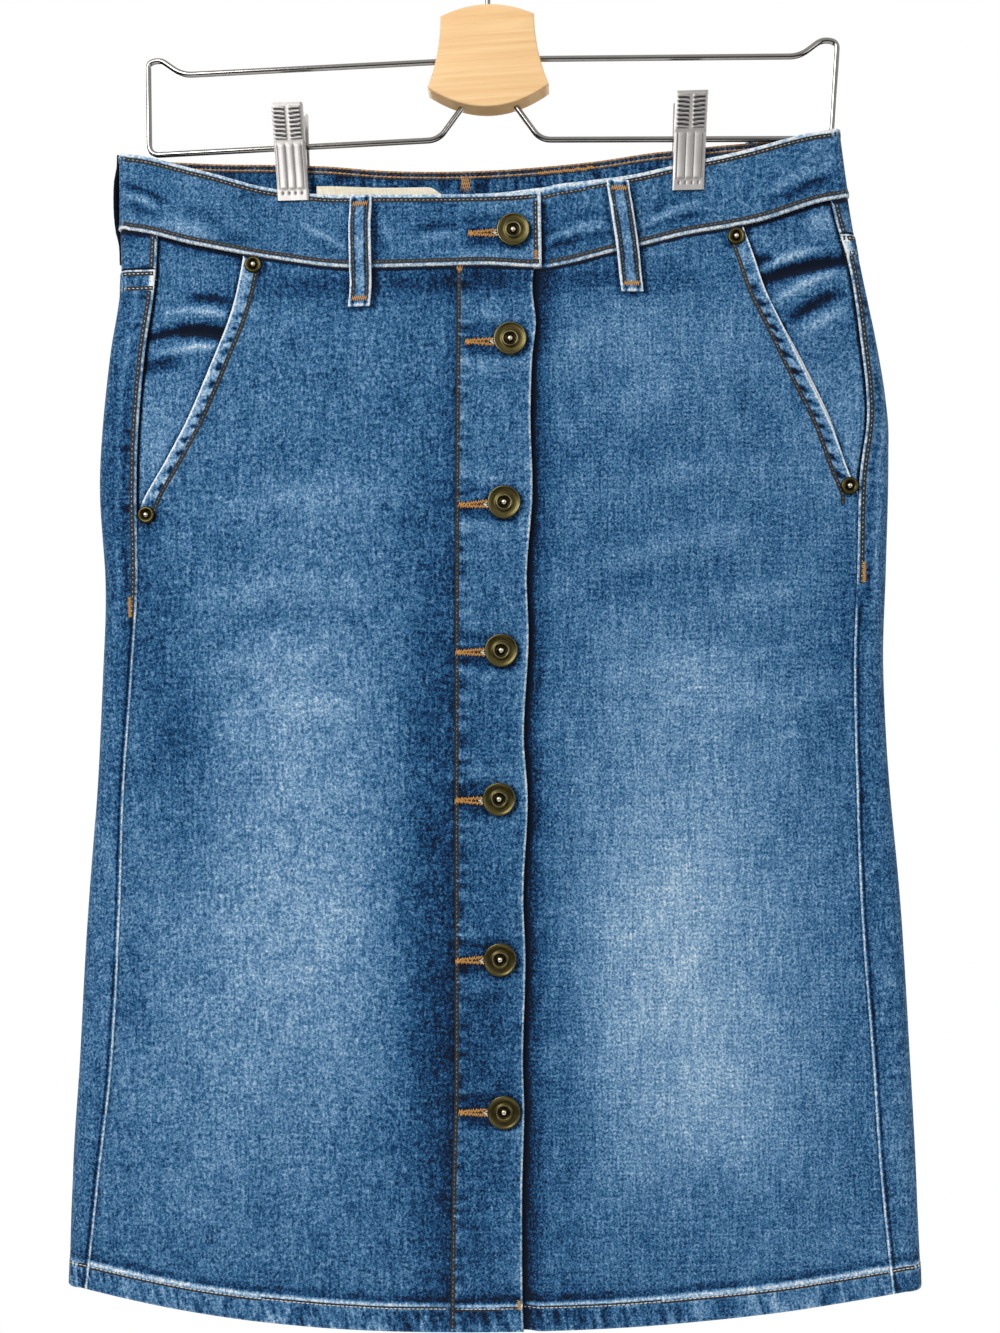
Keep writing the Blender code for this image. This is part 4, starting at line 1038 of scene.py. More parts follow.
def make_backs(denim):
    """Two back panels under a yoke in two pieces, wrapped forward round the folds to the side seams."""
    def yoke_relief(around, drop, across):
        high, tone = surface_relief(around, drop)
        # Below the waistband a shade is painted on the yoke.
        return high, tone - 0.10 * bell((drop - waist_seam(around) - 3.0) / 9.0)

    def by_seam(seam, sign):
        """Worn white where the yoke meets the side seam; low down, a thin pale line by the seam."""
        def relief(around, drop, across):
            high, tone = surface_relief(around, drop)
            off = np.abs(across - seam(drop))
            start = YOKE_AT_LEFT if sign < 0 else YOKE_AT_RIGHT
            beside = window(start, start + 2, start + 10, start + 13, drop)
            low = smoothstep(385, 400, drop)
            tone = tone + (0.7 if sign < 0 else 0.4) * beside * bell((off - 1.0) / 2.4)
            tone = tone + low * (0.44 * bell((off - 0.5) / 0.7) - 0.32 * bell((off - 2.2) / 0.8))
            streak = 0.10 * bell((off - 10.0) / 1.3) - 0.10 * bell((off - 6.5) / 2.0)
            return high, tone + streak * (1 - low) * (1 - beside)

        return relief

    top = moved(waist_seam, TOP_GAP)
    for side, seam, sign in (("left", seam_left, -1.0), ("right", seam_right, 1.0)):
        edges = (moved(centre_back(sign), -0.1 * sign), moved(seam, HALF_GAP * sign))
        near_seam, centre = "right", "left"
        if sign > 0:
            edges, near_seam, centre = edges[::-1], centre, near_seam
        # The yoke's top and bottom edges get painted shadow lines, under the waistband and by the panel's
        # raised edge.
        yoke = shell(
            f"back_yoke_{side}", spread(*edges, top, moved(yoke_seam, -0.1), 3.0), 0.0, CLOTH, denim,
            {near_seam: Edge(0.8, 9.0, -0.4, 1.0), centre: Edge(0.3, 6.0, -0.4),
             "top": Edge(-0.8, 0, 0, 2.2), "bottom": Edge(-0.8, 0, 0, 0.9)},
            "denim_back", yoke_relief,
        )
        until = 398.0 if sign < 0 else 385.0
        panel = shell(
            f"back_panel_{side}", spread(*edges, moved(yoke_seam, 0.1), hem, 3.3), 0.0, CLOTH, denim,
            {near_seam: Edge(0.75, 8.0, -0.45, 0.75, until=until), "top": Edge(0.8, 10.4, 1.3, 1.0),
             centre: Edge(0.3, 6.0, -0.4), "bottom": Edge(0.2, TURN_UP, 0.9, 0.8, ridge=1.0)},
            "denim_back", by_seam(seam, sign),
        )


def make_waistband(denim):
    """The band in three lengths, the left one over the right one at the first button."""
    def band_relief(around, drop, across):
        high, tone = surface_relief(around, drop, band=True)
        return high, tone + 0.02 * np.sin(across * 0.11) - 0.05 * bell((across + 30) / 30.0)

    def band_under(around, drop, across):
        high, tone = band_relief(around, drop, across)
        off = across - BAND_LAP_END
        # Right of the lap's end a shadow is painted.
        shade = 0.34 * bell((off - 0.6) / 1.6) + 0.10 * bell((off - 2.0) / 7.0)
        return high + under_lap(across, drop, True), tone - shade * smoothstep(170, 175, drop)

    def right_top(around):
        """The right half's facing, standing up a little behind the lap and fading out past it."""
        rising = 1.0 + 1.2 * smoothstep(0.02, 0.17, around)
        return waist_top(around) - rising * (1.0 - smoothstep(0.18, 0.44, around))

    def back_relief(around, drop, across):
        lower = smoothstep(8, 26, drop - waist_top(around))
        return np.zeros_like(drop), PLAIN_TONE - 0.12 - 0.04 * lower

    bottom = moved(waist_seam, -TOP_GAP)
    joint = lambda place: lambda drop: across_of(np.full_like(drop, place), drop)
    right_joint = joint(BAND_JOINT)
    turned = Edge(0.95, 4.0, 0.3, 1.5)
    left_edges = {"top": Edge(0.8, 4.0, 0.25, 1.9), "bottom": turned, "right": Edge(0.9, 4.5, -0.2, 1.8)}
    right_edges = {"top": Edge(0.95, 4.0, 0.1, 2.6), "bottom": turned}
    back_edges = {"top": Edge(-0.3, 20.0, 0.9), "bottom": Edge(0.85, 4.0, 0.4)}
    left = spread(joint(-BAND_JOINT), level_at(BAND_LAP_END), waist_top, bottom, 2.0)
    right = spread(level_at(BAND_LAP_END - UNDERLAP), right_joint, right_top, bottom, 2.0)
    back = spread(right_joint, joint(6.0 - BAND_JOINT), waist_top, bottom, 2.4)
    for side, spots, edges, slot, relief, flat in (
        ("left", left, left_edges, "denim_front", band_relief, (0.262, 0.040)),
        ("right", right, right_edges, "denim_front", band_under, (0.230, 0.040)),
        ("back", back, back_edges, "denim_back", back_relief, (0.385, 0.038)),
    ):
        piece = shell(
            f"waistband_{side}", spots, BAND_RISE, BAND_CLOTH, denim, edges, slot, relief, reverse=0.0
        )


def make_label(cotton):
    def back_across(x):
        return lambda drop: across_of(3.0 - (x - middle(drop)) / flat_half(drop), drop)

    def label_top(around):
        """Level, but sloping down to the label's right end, where the band folds over it."""
        x = tube(around, LABEL_TOP + 0.0 * around)[..., 0]
        return LABEL_TOP + 5.0 * smoothstep(LABEL_RIGHT - 11.0, LABEL_RIGHT, x) ** 1.5

    ends = (back_across(LABEL_RIGHT), back_across(LABEL_LEFT))
    spots = spread(*ends, label_top, level_at(LABEL_BOTTOM), 1.6)
    lift = BAND_RISE - BAND_CLOTH - TRIM_GAP
    piece = shell("waistband_label", spots, lift, LABEL_CLOTH, cotton, {}, "cotton_label", plain)


def make_loops(denim):
    for name, loop in LOOPS.items():
        start = loop_top(loop)
        down, sidewise = np.meshgrid(shares(LOOP_LENGTH, 1.8), shares(LOOP_WIDTH, 1.3), indexing="ij")
        drop = start + down * LOOP_LENGTH
        centre = across_of(loop.around + loop.lean * down, drop)
        around = around_of(centre + (sidewise - 0.5) * LOOP_WIDTH, drop)

        def relief(around, drop, across, start=start, centre=centre, name=name):
            share = (drop - start) / LOOP_LENGTH
            bar = bell((np.abs(across - centre) - 3.6) / 0.9)
            ripple = 0.1 * np.sin(drop * 1.3) * bell((np.abs(across - centre) - 4.2) / 1.5)
            # The sunk stitch rows get a painted shade, and the left side loop a painted shade towards its
            # front.
            tone = PLAIN_TONE + 0.12 - 0.5 * bar + 0.04 * np.sin(drop * 0.33)
            if name == "belt_loop_side_left":
                tone = tone - 0.36 * smoothstep(-1.0, 3.5, across - centre)
            return LOOP_CLOTH + loop_rise(share) - 0.25 * bar + ripple, tone

        worn = Edge(1.0, 0.0, 0.0, 1.1)
        edges = {"left": worn, "right": worn, "top": worn, "bottom": Edge(0.9)}
        # The left side loop keeps only a painted shadow line along its front edge.
        if name == "belt_loop_side_left":
            edges = {"right": Edge(-1.0, 0, 0, 2.0)}
        piece = shell(
            name, (around, drop), 0.0, LOOP_CLOTH, denim, edges, "denim_front", relief, reverse=0.0
        )


# ---------------------------------------------------------------- stitching

PITCH, TACK_PITCH, RAY_START, RAY_LENGTH = 2.4, 0.55, 9.0, 16.0
# Half the width of the painted shadow strip under a row of stitches.
GROOVE_HALF = 1.15
BAND_ROW_TOP, BAND_ROW_SEAM, LAP_ROW, SEAM_ROW = 3.2, -3.0, 3.0, 2.4
YOKE_ROWS, CENTRE_ROWS, LOOP_ROWS, LOOP_TACKS = (2.3, 10.4), (1.8, 7.4), (-3.6, 3.6), (0.075, 0.93)
HEM_LEVEL, LAST_STITCH = 770.0, 781.0
HOLE_START, HOLE_END, HOLE_THREADS = 23.5, 9.0, 27


def unit(vector):
    return vector / np.linalg.norm(vector)


def settle(tree_name, around, drop, inside=False):
    """Points on a piece of cloth under these spots, and the cloth's normals there."""
    normal = outward(around, drop)
    if inside:
        normal = -normal
    start = tube(around, drop) + normal * RAY_START
    points, normals, found = [], [], []
    for origin, direction in zip(start, -normal):
        hit = TREES[tree_name].ray_cast(Vector(origin), Vector(direction), RAY_LENGTH)
        found.append(hit[0] is not None)
        points.append(hit[0] or origin)
        normals.append(hit[1] if hit[0] else -direction)
    normals = np.array(normals, float)
    towards = np.sign(np.sum(normals * normal, axis=1, keepdims=True))
    return np.array(points, float), normals * np.where(towards == 0, 1, towards), np.array(found)


def seat_at(tree, across, drop):
    """The point and the normal of a piece of cloth at one spot, or None off its edge."""
    drop = np.array([drop])
    points, normals, found = settle(tree, around_of(np.array([across]), drop), drop)
    return (points[0], normals[0]) if found[0] else None


def stitch_form(rings=4, sides=5):
    """One stitch a unit long, wide and high, its ends sunk: points and faces."""
    points = []
    for along in np.linspace(-0.5, 0.5, rings):
        thin = math.cos(along * math.pi * 0.8)
        for k in range(sides):
            angle = math.tau * k / sides
            high = thin * (0.2 + 0.5 * math.sin(angle)) - 0.1
            points.append((along, 0.5 * thin * math.cos(angle), high))
    ends = [tuple(range(sides))[::-1], tuple(range((rings - 1) * sides, rings * sides))]
    return np.array(points), ring_faces(sides, rings) + ends


class Thread:
    """Stitches of one thread, gathered and then made as one mesh."""

    def __init__(self, name, material_name, dark, light):
        self.name, self.material = name, thread_material(material_name, dark, light)
        self.points, self.faces, self.tones, self.count = [], [], [], 0
        self.form, self.form_faces = stitch_form()

    def stitch(self, centre, along, normal, length, width, height, tone):
        side = np.cross(normal, along)
        frame = np.stack([along * length, side * width, normal * height])
        self.add(centre + self.form @ frame, self.form_faces, tone)

    def add(self, points, faces, tone):
        self.points.append(points)
        self.faces += [tuple(i + self.count for i in face) for face in faces]
        self.tones.append(np.full(len(points), tone))
        self.count += len(points)

    def make(self):
        points, tones = np.concatenate(self.points), np.concatenate(self.tones)
        mesh_piece(self.name, points, self.faces, self.material, (), "denim_trim", tone=tones)


def sew(
    thread, groove, tree, path, pitch=PITCH, length=1.4, width=0.6, height=0.42, inside=False
):
    """Stitches over a painted shadow strip of their sunk line, along a path: a function of a share, to
    around and drop.
    """
    fine = np.linspace(0, 1, 400)
    rough = tube(*path(fine))
    run = np.concatenate([[0], np.cumsum(np.linalg.norm(np.diff(rough, axis=0), axis=1))])
    count = max(int(run[-1] / pitch), 1)
    at = np.interp((np.arange(count * 2 + 1) / 2) * run[-1] / count, run, fine)
    points, normals, found = settle(tree, *path(at), inside)
    for i in range(count):
        a, b, c = 2 * i, 2 * i + 1, 2 * i + 2
        along = points[c] - points[a]
        gap = np.linalg.norm(along)
        if not (found[a] and found[b] and found[c]) or gap < 0.5 or gap > pitch * 2:
            continue
        along /= gap
        up = unit(normals[b] - along * np.dot(normals[b], along))
        wobble = math.sin(i * 2.39)
        long = length * (1 + 0.05 * wobble)
        thread.stitch(points[b] + up * 0.05, along, up, long, width, height, 0.5 + 0.22 * wobble)
        if groove:
            side = np.cross(up, along) * GROOVE_HALF
            start, end = points[a] - along * 0.1, points[c] + along * 0.1
            quad = np.array([start - side, start + side, end + side, end - side]) + up * 0.07
            groove.add(quad, [(0, 3, 2, 1)], 0.5 + 0.3 * wobble)


def tack(thread, tree, around, drop, length, width, lean=0.0, inside=False):
    """A bar tack: threads laid side by side across a bar of this length, which runs at this lean."""
    count = max(int(length / TACK_PITCH), 3)
    offsets = (np.arange(count) - (count - 1) / 2) * TACK_PITCH
    centre = across_of(np.array(around, float), np.array(drop, float))
    drops = drop + offsets * math.sin(lean)
    arounds = around_of(centre + offsets * math.cos(lean), drops)
    points, normals, found = settle(tree, arounds, drops, inside)
    for i in np.flatnonzero(found):
        run = points[min(i + 1, count - 1)] - points[max(i - 1, 0)]
        run /= max(np.linalg.norm(run), 1e-6)
        slant = unit(unit(np.cross(normals[i], run)) + run * 0.25 * (-1.0) ** i)
        long = width * (1 + 0.12 * math.sin(i * 2.1 + drop))
        tone = 0.45 + 0.3 * (i % 2)
        thread.stitch(points[i] + normals[i] * 0.1, slant, normals[i], long, 0.62, 0.75, tone)


def between_spots(a0, d0, a1, d1):
    """A straight path between two (across, drop) spots, as a function of a share."""
    def path(share):
        drop = mix(d0, d1, share)
        return around_of(mix(a0, a1, share), drop), drop

    return path


def along_edge(edge, off, start, stop):
    """A path that keeps this far from an edge given as across at a drop."""
    def path(share):
        drop = mix(start, stop, share)
        return around_of(edge(drop) + off, drop), drop

    return path


def along_level(edge, off, start, stop):
    """A path that keeps this far below an edge given as a drop at a place around."""
    def path(share):
        around = mix(start, stop, share)
        return around, edge(around) + off

    return path


def sew_skirt(tan, brown, umber, orange, amber, groove):
    upright = math.pi / 2
    # The waistband's top and bottom rows, outside, and the row at the lap's end.
    lap = (place_at(BAND_LAP_END - 1.5, 180.0), place_at(BAND_LAP_END + 1.8, 180.0))
    back = (2.08, 3.92)
    for side, *ends in (("left", -2.04, lap[0]), ("right", lap[1], 2.04), ("back", *back)):
        sew(brown, groove, f"waistband_{side}", along_level(waist_top, BAND_ROW_TOP, *ends))
        sew(umber, groove, f"waistband_{side}", along_level(waist_seam, BAND_ROW_SEAM, *ends))
    in_from_end = BAND_LAP_END - LAP_ROW
    sew(brown, groove, "waistband_left", between_spots(in_from_end, 172.0, in_from_end, 203.0))
    # Inside the back band, two lines of amber thread with dark stitches between and under them.
    for thread, off, *sizes in (
        (amber, 0.8, 2.5, 2.8, 1.3, 0.6), (amber, 3.5, 2.5, 2.8, 1.3, 0.6),
        (groove, 2.15, 2.6, 1.7, 1.5, 0.8), (groove, 4.7, 2.5, 2.8, 0.9, 0.5),
    ):
        path = along_level(waist_top, off, *back)
        sew(thread, None, "waistband_back", path, *sizes, inside=True)
    # The pocket mouths.
    for side, mouth, off, start in (
        ("left", mouth_left, MOUTH_BAND, 206.0), ("right", mouth_right, -MOUTH_BAND, 196.5),
    ):
        path = along_edge(mouth, off, start, POCKET_END - 1.5)
        sew(umber, groove, f"front_panel_{side}", path)
    # The side seams, topstitched down to the tacks, then plain, and the back's seams.
    for side, seam, sign, top, tack_drop, yoke in (
        ("left", seam_left, -1, 182.0, TACKED_DOWN_LEFT, YOKE_AT_LEFT),
        ("right", seam_right, 1, 174.0, TACKED_DOWN_RIGHT, YOKE_AT_RIGHT),
    ):
        on_yoke, on_panel, edge = f"back_yoke_{side}", f"back_panel_{side}", centre_back(sign)
        sew(brown, groove, on_yoke, along_edge(seam, sign * SEAM_ROW, top, yoke - 1))
        path = along_edge(seam, sign * SEAM_ROW, yoke + 12, tack_drop + 12)
        sew(brown, groove, on_panel, path, pitch=2.6, length=1.1)
        for off in YOKE_ROWS:
            sew(tan, groove, on_panel, along_level(yoke_seam, off, sign * 0.93, sign * 2.98))
        for off in CENTRE_ROWS:
            sew(tan, groove, on_yoke, along_edge(edge, -sign * off, 188.0, 244.0))
            if sign > 0:
                sew(tan, groove, on_panel, along_edge(edge, -sign * off, 248.0, LAST_STITCH))
        drop = tack_drop + 6.0
        tack(orange, on_panel, place_at(seam(drop) + sign * 3.6, drop), drop, 11.0, 2.4, upright)
    # The placket's line and the hems.
    sew(umber, groove, "button_placket", along_edge(placket_line, 0.9, 209.0, LAST_STITCH))
    edges = (seam_left, placket_line, placket_edge, seam_right)
    seams = [place_at(edge(HEM_LEVEL), HEM_LEVEL) for edge in edges]
    for tree, start, stop in (
        ("front_panel_left", seams[0], seams[1]), ("button_placket", seams[1], seams[2]),
        ("front_panel_right", seams[2], seams[3]), ("back_panel_right", seams[3], 2.99),
        ("back_panel_left", -2.99, seams[0]),
    ):
        path = along_level(hem, -TURN_UP - 0.6, start, stop)
        sew(tan, groove, tree, path, length=2.1, width=0.5)
    # The front's tacks.
    tack(orange, "button_placket", place_at(placket_line(208.0) + 0.6, 208.0), 208.5, 4.0, 4.0)
    tack(orange, "waistband_left", place_at(25.0, 201.5), 201.5, 5.0, 2.6, upright)
    tack(orange, "button_placket", place_at(8.6, 768.0), 768.0, 5.0, 2.4, upright)


def sew_back_band(orange, tree="waistband_back"):
    """The tacks and the thicker run of thread that show inside the back of the waist."""
    rows = [(-14.0, 150.0, 7.0, 5.0, 9.0)]
    rows += [(x, 148.0, 3.4 + 0.4 * math.sin(x), 3.6, 2.2) for x in np.arange(28.0, 58.0, 3.4)]
    for x, level, below_top, length, width in rows:
        place = float(3.0 - (x - middle(level)) / flat_half(level))
        drop = float(waist_top(np.array(place))) + below_top
        tack(orange, tree, place, drop, length, width, inside=True)


def sew_loops(umber, orange, groove):
    for name, loop in LOOPS.items():
        start = loop_top(loop)

        def strip(off, start=start, loop=loop):
            def path(share):
                down = mix(0.06, 0.94, share)
                drop = start + down * LOOP_LENGTH
                return around_of(across_of(loop.around + loop.lean * down, drop) + off, drop), drop

            return path

        for off in LOOP_ROWS:
            sew(umber, groove, name, strip(off), width=0.5)
        for down in LOOP_TACKS:
            tack(orange, name, loop.around + loop.lean * down, start + down * LOOP_LENGTH, 8.6, 3.2)


def sew_holes(orange, cream, groove):
    """Each buttonhole: two bars of close thread with a painted shadow strip for the slit, and the shank's
    thread.
    """
    for number, button in enumerate(BUTTONS):
        tree = "waistband_left" if number == 0 else "button_placket"
        x, drop = button_x(button), button.drop + 0.8
        first, last = x - HOLE_START, x - HOLE_END
        for k in range(HOLE_THREADS):
            share = k / (HOLE_THREADS - 1)
            opening = 0.35 + 0.95 * share + 0.25 * math.sin(k * 1.7 + number)
            for side in (-1, 1):
                sit = drop + side * opening * 1.15 + 0.5 * math.sin(number * 2.1) * (share - 0.5)
                seat = seat_at(tree, mix(first, last, share), sit)
                if not seat:
                    continue
                point, normal = seat
                lean = np.array([0.35 * math.sin(k * 2.7), 0.0, 1.0])
                lean = unit(lean - normal * np.dot(lean, normal))
                long, tone = 1.9 + 0.4 * math.sin(k * 1.3 + side), 0.4 + 0.35 * (k % 2)
                orange.stitch(point + normal * 0.12, lean, normal, long, 0.66, 0.9, tone)
        tack(orange, tree, place_at(first, drop), drop, 2.4, 3.8)
        sew(groove, None, tree, between_spots(first + 2, drop, last + 3, drop), 1.2, 2.0, 1.3, 0.3)
        for k, tilt in enumerate((-0.6, 0.15, 0.7)):
            seat = seat_at(tree, last, drop + 2.0 * tilt)
            if seat:
                point, normal = seat
                along = unit(np.array([1.0, -0.3, -tilt]))
                tone = 0.5 + 0.2 * k
                cream.stitch(point + normal * 1.1, along, normal, 5.0, 0.7, 0.9, tone)


# ---------------------------------------------------------------- buttons and rivets

# Rows of radius, height and tone; the near-white tone on the nubs is a painted highlight.
BUTTON_TURNING = (
    (0.0, 2.95, 0.95), (0.55, 2.9, 0.95), (1.05, 2.7, 0.9), (1.45, 2.3, 0.6), (1.7, 1.75, 0.10),
    (2.4, 1.55, 0.14), (3.05, 1.6, 0.24), (3.35, 1.95, 0.34), (3.6, 2.5, 0.62), (4.0, 2.66, 0.68),
    (4.35, 2.5, 0.5), (4.7, 2.2, 0.38), (5.6, 2.14, 0.46), (6.8, 2.22, 0.5), (7.7, 2.36, 0.52),
    (8.1, 2.62, 0.6), (8.5, 2.72, 0.66), (8.85, 2.5, 0.5), (9.02, 2.05, 0.3), (8.95, 1.55, 0.16),
    (8.6, 1.15, 0.1), (6.0, 0.95, 0.08), (3.9, 0.85, 0.06), (3.7, -0.3, 0.05),
)
RIVET_TURNING = (
    (0.0, 2.15, 0.98), (0.6, 2.08, 0.96), (1.1, 1.85, 0.8), (1.5, 1.35, 0.35), (1.75, 0.85, 0.08),
    (2.3, 0.7, 0.06), (2.8, 0.95, 0.3), (3.4, 1.28, 0.46), (4.0, 1.34, 0.5), (4.5, 1.05, 0.34),
    (4.8, 0.55, 0.16), (4.85, -0.3, 0.06),
)


def turned_piece(name, turning, sunk, around, drop, brass, sides):
    """A round piece turned from (radius, height, tone) rows, seated on its CAD node's place."""
    centre = np.array([(low + high) / 2 for low, high in zip(*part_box(name))]) / MM
    around, drop = np.array([around], float), np.array([drop], float)
    normal, seat = outward(around, drop)[0], tube(around, drop)[0]
    base = seat + normal * np.dot(centre - seat, normal)
    rows = np.array(turning)
    height = rows[:, 1] - sunk
    angles = np.arange(sides) * math.tau / sides
    side = unit(np.cross([0.0, 0.0, 1.0], normal))
    up = np.cross(normal, side)
    rings = [
        base + normal * h + np.outer(np.cos(angles), side) * r + np.outer(np.sin(angles), up) * r
        for h, r in zip(height[1:], rows[1:, 0])
    ]
    points = np.concatenate([[base + normal * height[0]], *rings, [base + normal * height[-1]]])
    k = np.arange(sides)
    n, last = (k + 1) % sides, 1 + (len(rings) - 1) * sides
    faces = [(0, 1 + a, 1 + b) for a, b in zip(k, n)]
    faces += [(1 + a, 1 + d, 1 + c, 1 + b) for a, b, c, d in ring_faces(sides, len(rings))]
    faces += [(last + b, last + a, len(points) - 1) for a, b in zip(k, n)]
    tone = np.concatenate([[rows[0, 2]], np.repeat(rows[1:, 2], sides), [0.1]])
    radius = np.concatenate([[0.0], np.repeat(rows[1:, 0], sides), [0.0]])
    turn = np.concatenate([[0], np.tile(angles, len(rings)), [0]])
    turned = np.stack([radius, np.zeros_like(radius), turn], -1) * MM
    values = {"tone": tone, "turned": turned}
    mesh_piece(name + "_turned", points, faces, brass, (name,), "antique_brass", **values)


def make_trims(brass):
    for number, button in enumerate(BUTTONS, 1):
        around = place_at(button_x(button), button.drop)
        turned_piece(f"button_{number}", BUTTON_TURNING, 1.5, around, button.drop, brass, 40)
    for name, rivet in RIVETS.items():
        if rivet.side == "left":
            across = mouth_left(rivet.drop) + rivet.from_mouth
        else:
            across = mouth_right(rivet.drop) - rivet.from_mouth
        around = place_at(across, rivet.drop)
        turned_piece(name, RIVET_TURNING, 1.1, around, rivet.drop, brass, 28)


# ---------------------------------------------------------------- the hanger

def wire(name, node, path, radius, material):
    curve_data = bpy.data.curves.new(name, "CURVE")
    curve_data.dimensions = "3D"
    spline = curve_data.splines.new("POLY")
    spline.points.add(len(path) - 1)
    for point, place in zip(spline.points, path):
        point.co = (*(Vector(place) * MM), 1.0)
    curve_data.bevel_depth = radius * MM
    curve_data.bevel_resolution = 5
    curve_data.use_fill_caps = True
    placed(name, curve_data, material, (node,))


def arc(centre, radius, start, end, steps):
    angles = np.radians(np.linspace(start, end, steps + 1))
    return [(centre[0] + radius * math.cos(a), 0.0, centre[1] + radius * math.sin(a)) for a in angles]


def bent(corners, radius, steps=9):
    """A path with each inner corner replaced by a bend that stays inside it."""
    corners = [Vector(corner) for corner in corners]
    path = [corners[0]]
    for before, corner, after in zip(corners, corners[1:], corners[2:]):
        reach = min(radius, (before - corner).length * 0.45, (after - corner).length * 0.45)
        start = corner + (before - corner).normalized() * reach
        end = corner + (after - corner).normalized() * reach
        for t in np.linspace(0, 1, steps):
            path.append(start * (1 - t) ** 2 + corner * 2 * t * (1 - t) + end * t * t)
    return [*path, corners[-1]]


def make_wires(steel):
    radius = HOOK_INNER_RADIUS + WIRE_RADIUS
    fall = math.sqrt(radius * radius + 2.0 * radius * HOOK_NECK_RADIUS)
    neck = (HOOK_NECK_RADIUS, -HOOK_INNER_RADIUS - fall)
    meet = math.degrees(math.atan2(fall, -HOOK_NECK_RADIUS))
    hook = [(0.0, 0.0, -BLOCK_TOP - 1.0), *arc(neck, HOOK_NECK_RADIUS, 180.0, meet, 14)]
    hook += arc((0.0, -HOOK_INNER_RADIUS), radius, meet - 180.0, HOOK_TIP_ANGLE, 60)[1:]
    wire("hook_wire", "hanger_hook", hook, WIRE_RADIUS, steel)
    share = (BAR_TOP_AT_BLOCK - BLOCK_SHOULDER) / (BLOCK_CORNER - BLOCK_SHOULDER)
    hollow = BLOCK_SIDE_HOLLOW * 4.0 * share * (1.0 - share)
    start = mix(BLOCK_TOP_HALF, BLOCK_BOTTOM_HALF, share) - hollow - 1.0
    for arm in ARMS:
        corners = [
            (start, BAR_TOP_AT_BLOCK),
            (BAR_TOP_END, BAR_TOP_AT_END),
            (SHOULDER_X, SHOULDER_DROP),
            (arm.post_top, SHOULDER_DROP + 1.5),
            (arm.post_foot, BAR_BOTTOM_AT_END + arm.lower_by),
            (DIAGONAL_FOOT, BAR_BOTTOM_AT_BLOCK + arm.lower_by),
            (DIAGONAL_HEAD, DIAGONAL_HEAD_DROP - 1.5),
        ]
        path = bent([(arm.sign * x, 0.0, -drop) for x, drop in corners], BEND_RADIUS)
        wire(f"arm_wire_{arm.side}", f"hanger_wire_{arm.side}", path, WIRE_RADIUS, steel)


def bowed(start, end, sagitta, steps):
    start, end = np.array(start), np.array(end)
    chord = end - start
    side = np.array([chord[1], -chord[0]]) / np.linalg.norm(chord)
    even = np.linspace(0, 1, steps + 1)[:-1]
    return [start + chord * t + side * sagitta * 4.0 * t * (1.0 - t) for t in even]


def make_block(wood):
    """The wooden centre: an outline of four arcs, its edges eased."""
    top_left, top_right = (-BLOCK_TOP_HALF, -BLOCK_SHOULDER), (BLOCK_TOP_HALF, -BLOCK_SHOULDER)
    low_left, low_right = (-BLOCK_BOTTOM_HALF, -BLOCK_CORNER), (BLOCK_BOTTOM_HALF, -BLOCK_CORNER)
    outline = np.array(
        bowed(top_right, top_left, BLOCK_SHOULDER - BLOCK_TOP, 30)
        + bowed(top_left, low_left, -BLOCK_SIDE_HOLLOW, 24)
        + bowed(low_left, low_right, BLOCK_BOTTOM - BLOCK_CORNER, 34)
        + bowed(low_right, top_right, -BLOCK_SIDE_HOLLOW, 24)
    )
    centre = np.array([0.0, -(BLOCK_TOP + BLOCK_BOTTOM) / 2])
    half = BLOCK_THICK / 2
    profile = [(-half, 0.9), (-half + 0.12, 0.35), (-half + 0.4, 0.08), (-half + 0.9, 0.0)]
    profile += [(-y, inset) for y, inset in profile[::-1]]
    before, after = np.roll(outline, 1, axis=0), np.roll(outline, -1, axis=0)
    run = after - before
    inward = np.stack([-run[:, 1], run[:, 0]], -1) / np.linalg.norm(run, axis=1, keepdims=True)
    if np.dot(inward[0], centre - outline[0]) < 0:
        inward = -inward
    rings = []
    for y, inset in profile:
        place = outline + inward * inset
        rings.append(np.stack([place[:, 0], np.full(len(place), y), place[:, 1]], -1))
    count, total = len(outline), len(outline) * len(rings)
    points = np.concatenate([*rings, [(centre[0], -half, centre[1]), (centre[0], half, centre[1])]])
    k, n = np.arange(count), (np.arange(count) + 1) % count
    faces = ring_faces(count, len(rings)) + [(b, a, total) for a, b in zip(k, n)]
    last = (len(rings) - 1) * count
    faces += [(last + a, last + b, total + 1) for a, b in zip(k, n)]
    mesh_piece("block_wood", points, faces, wood, ("hanger_block",), "beech")


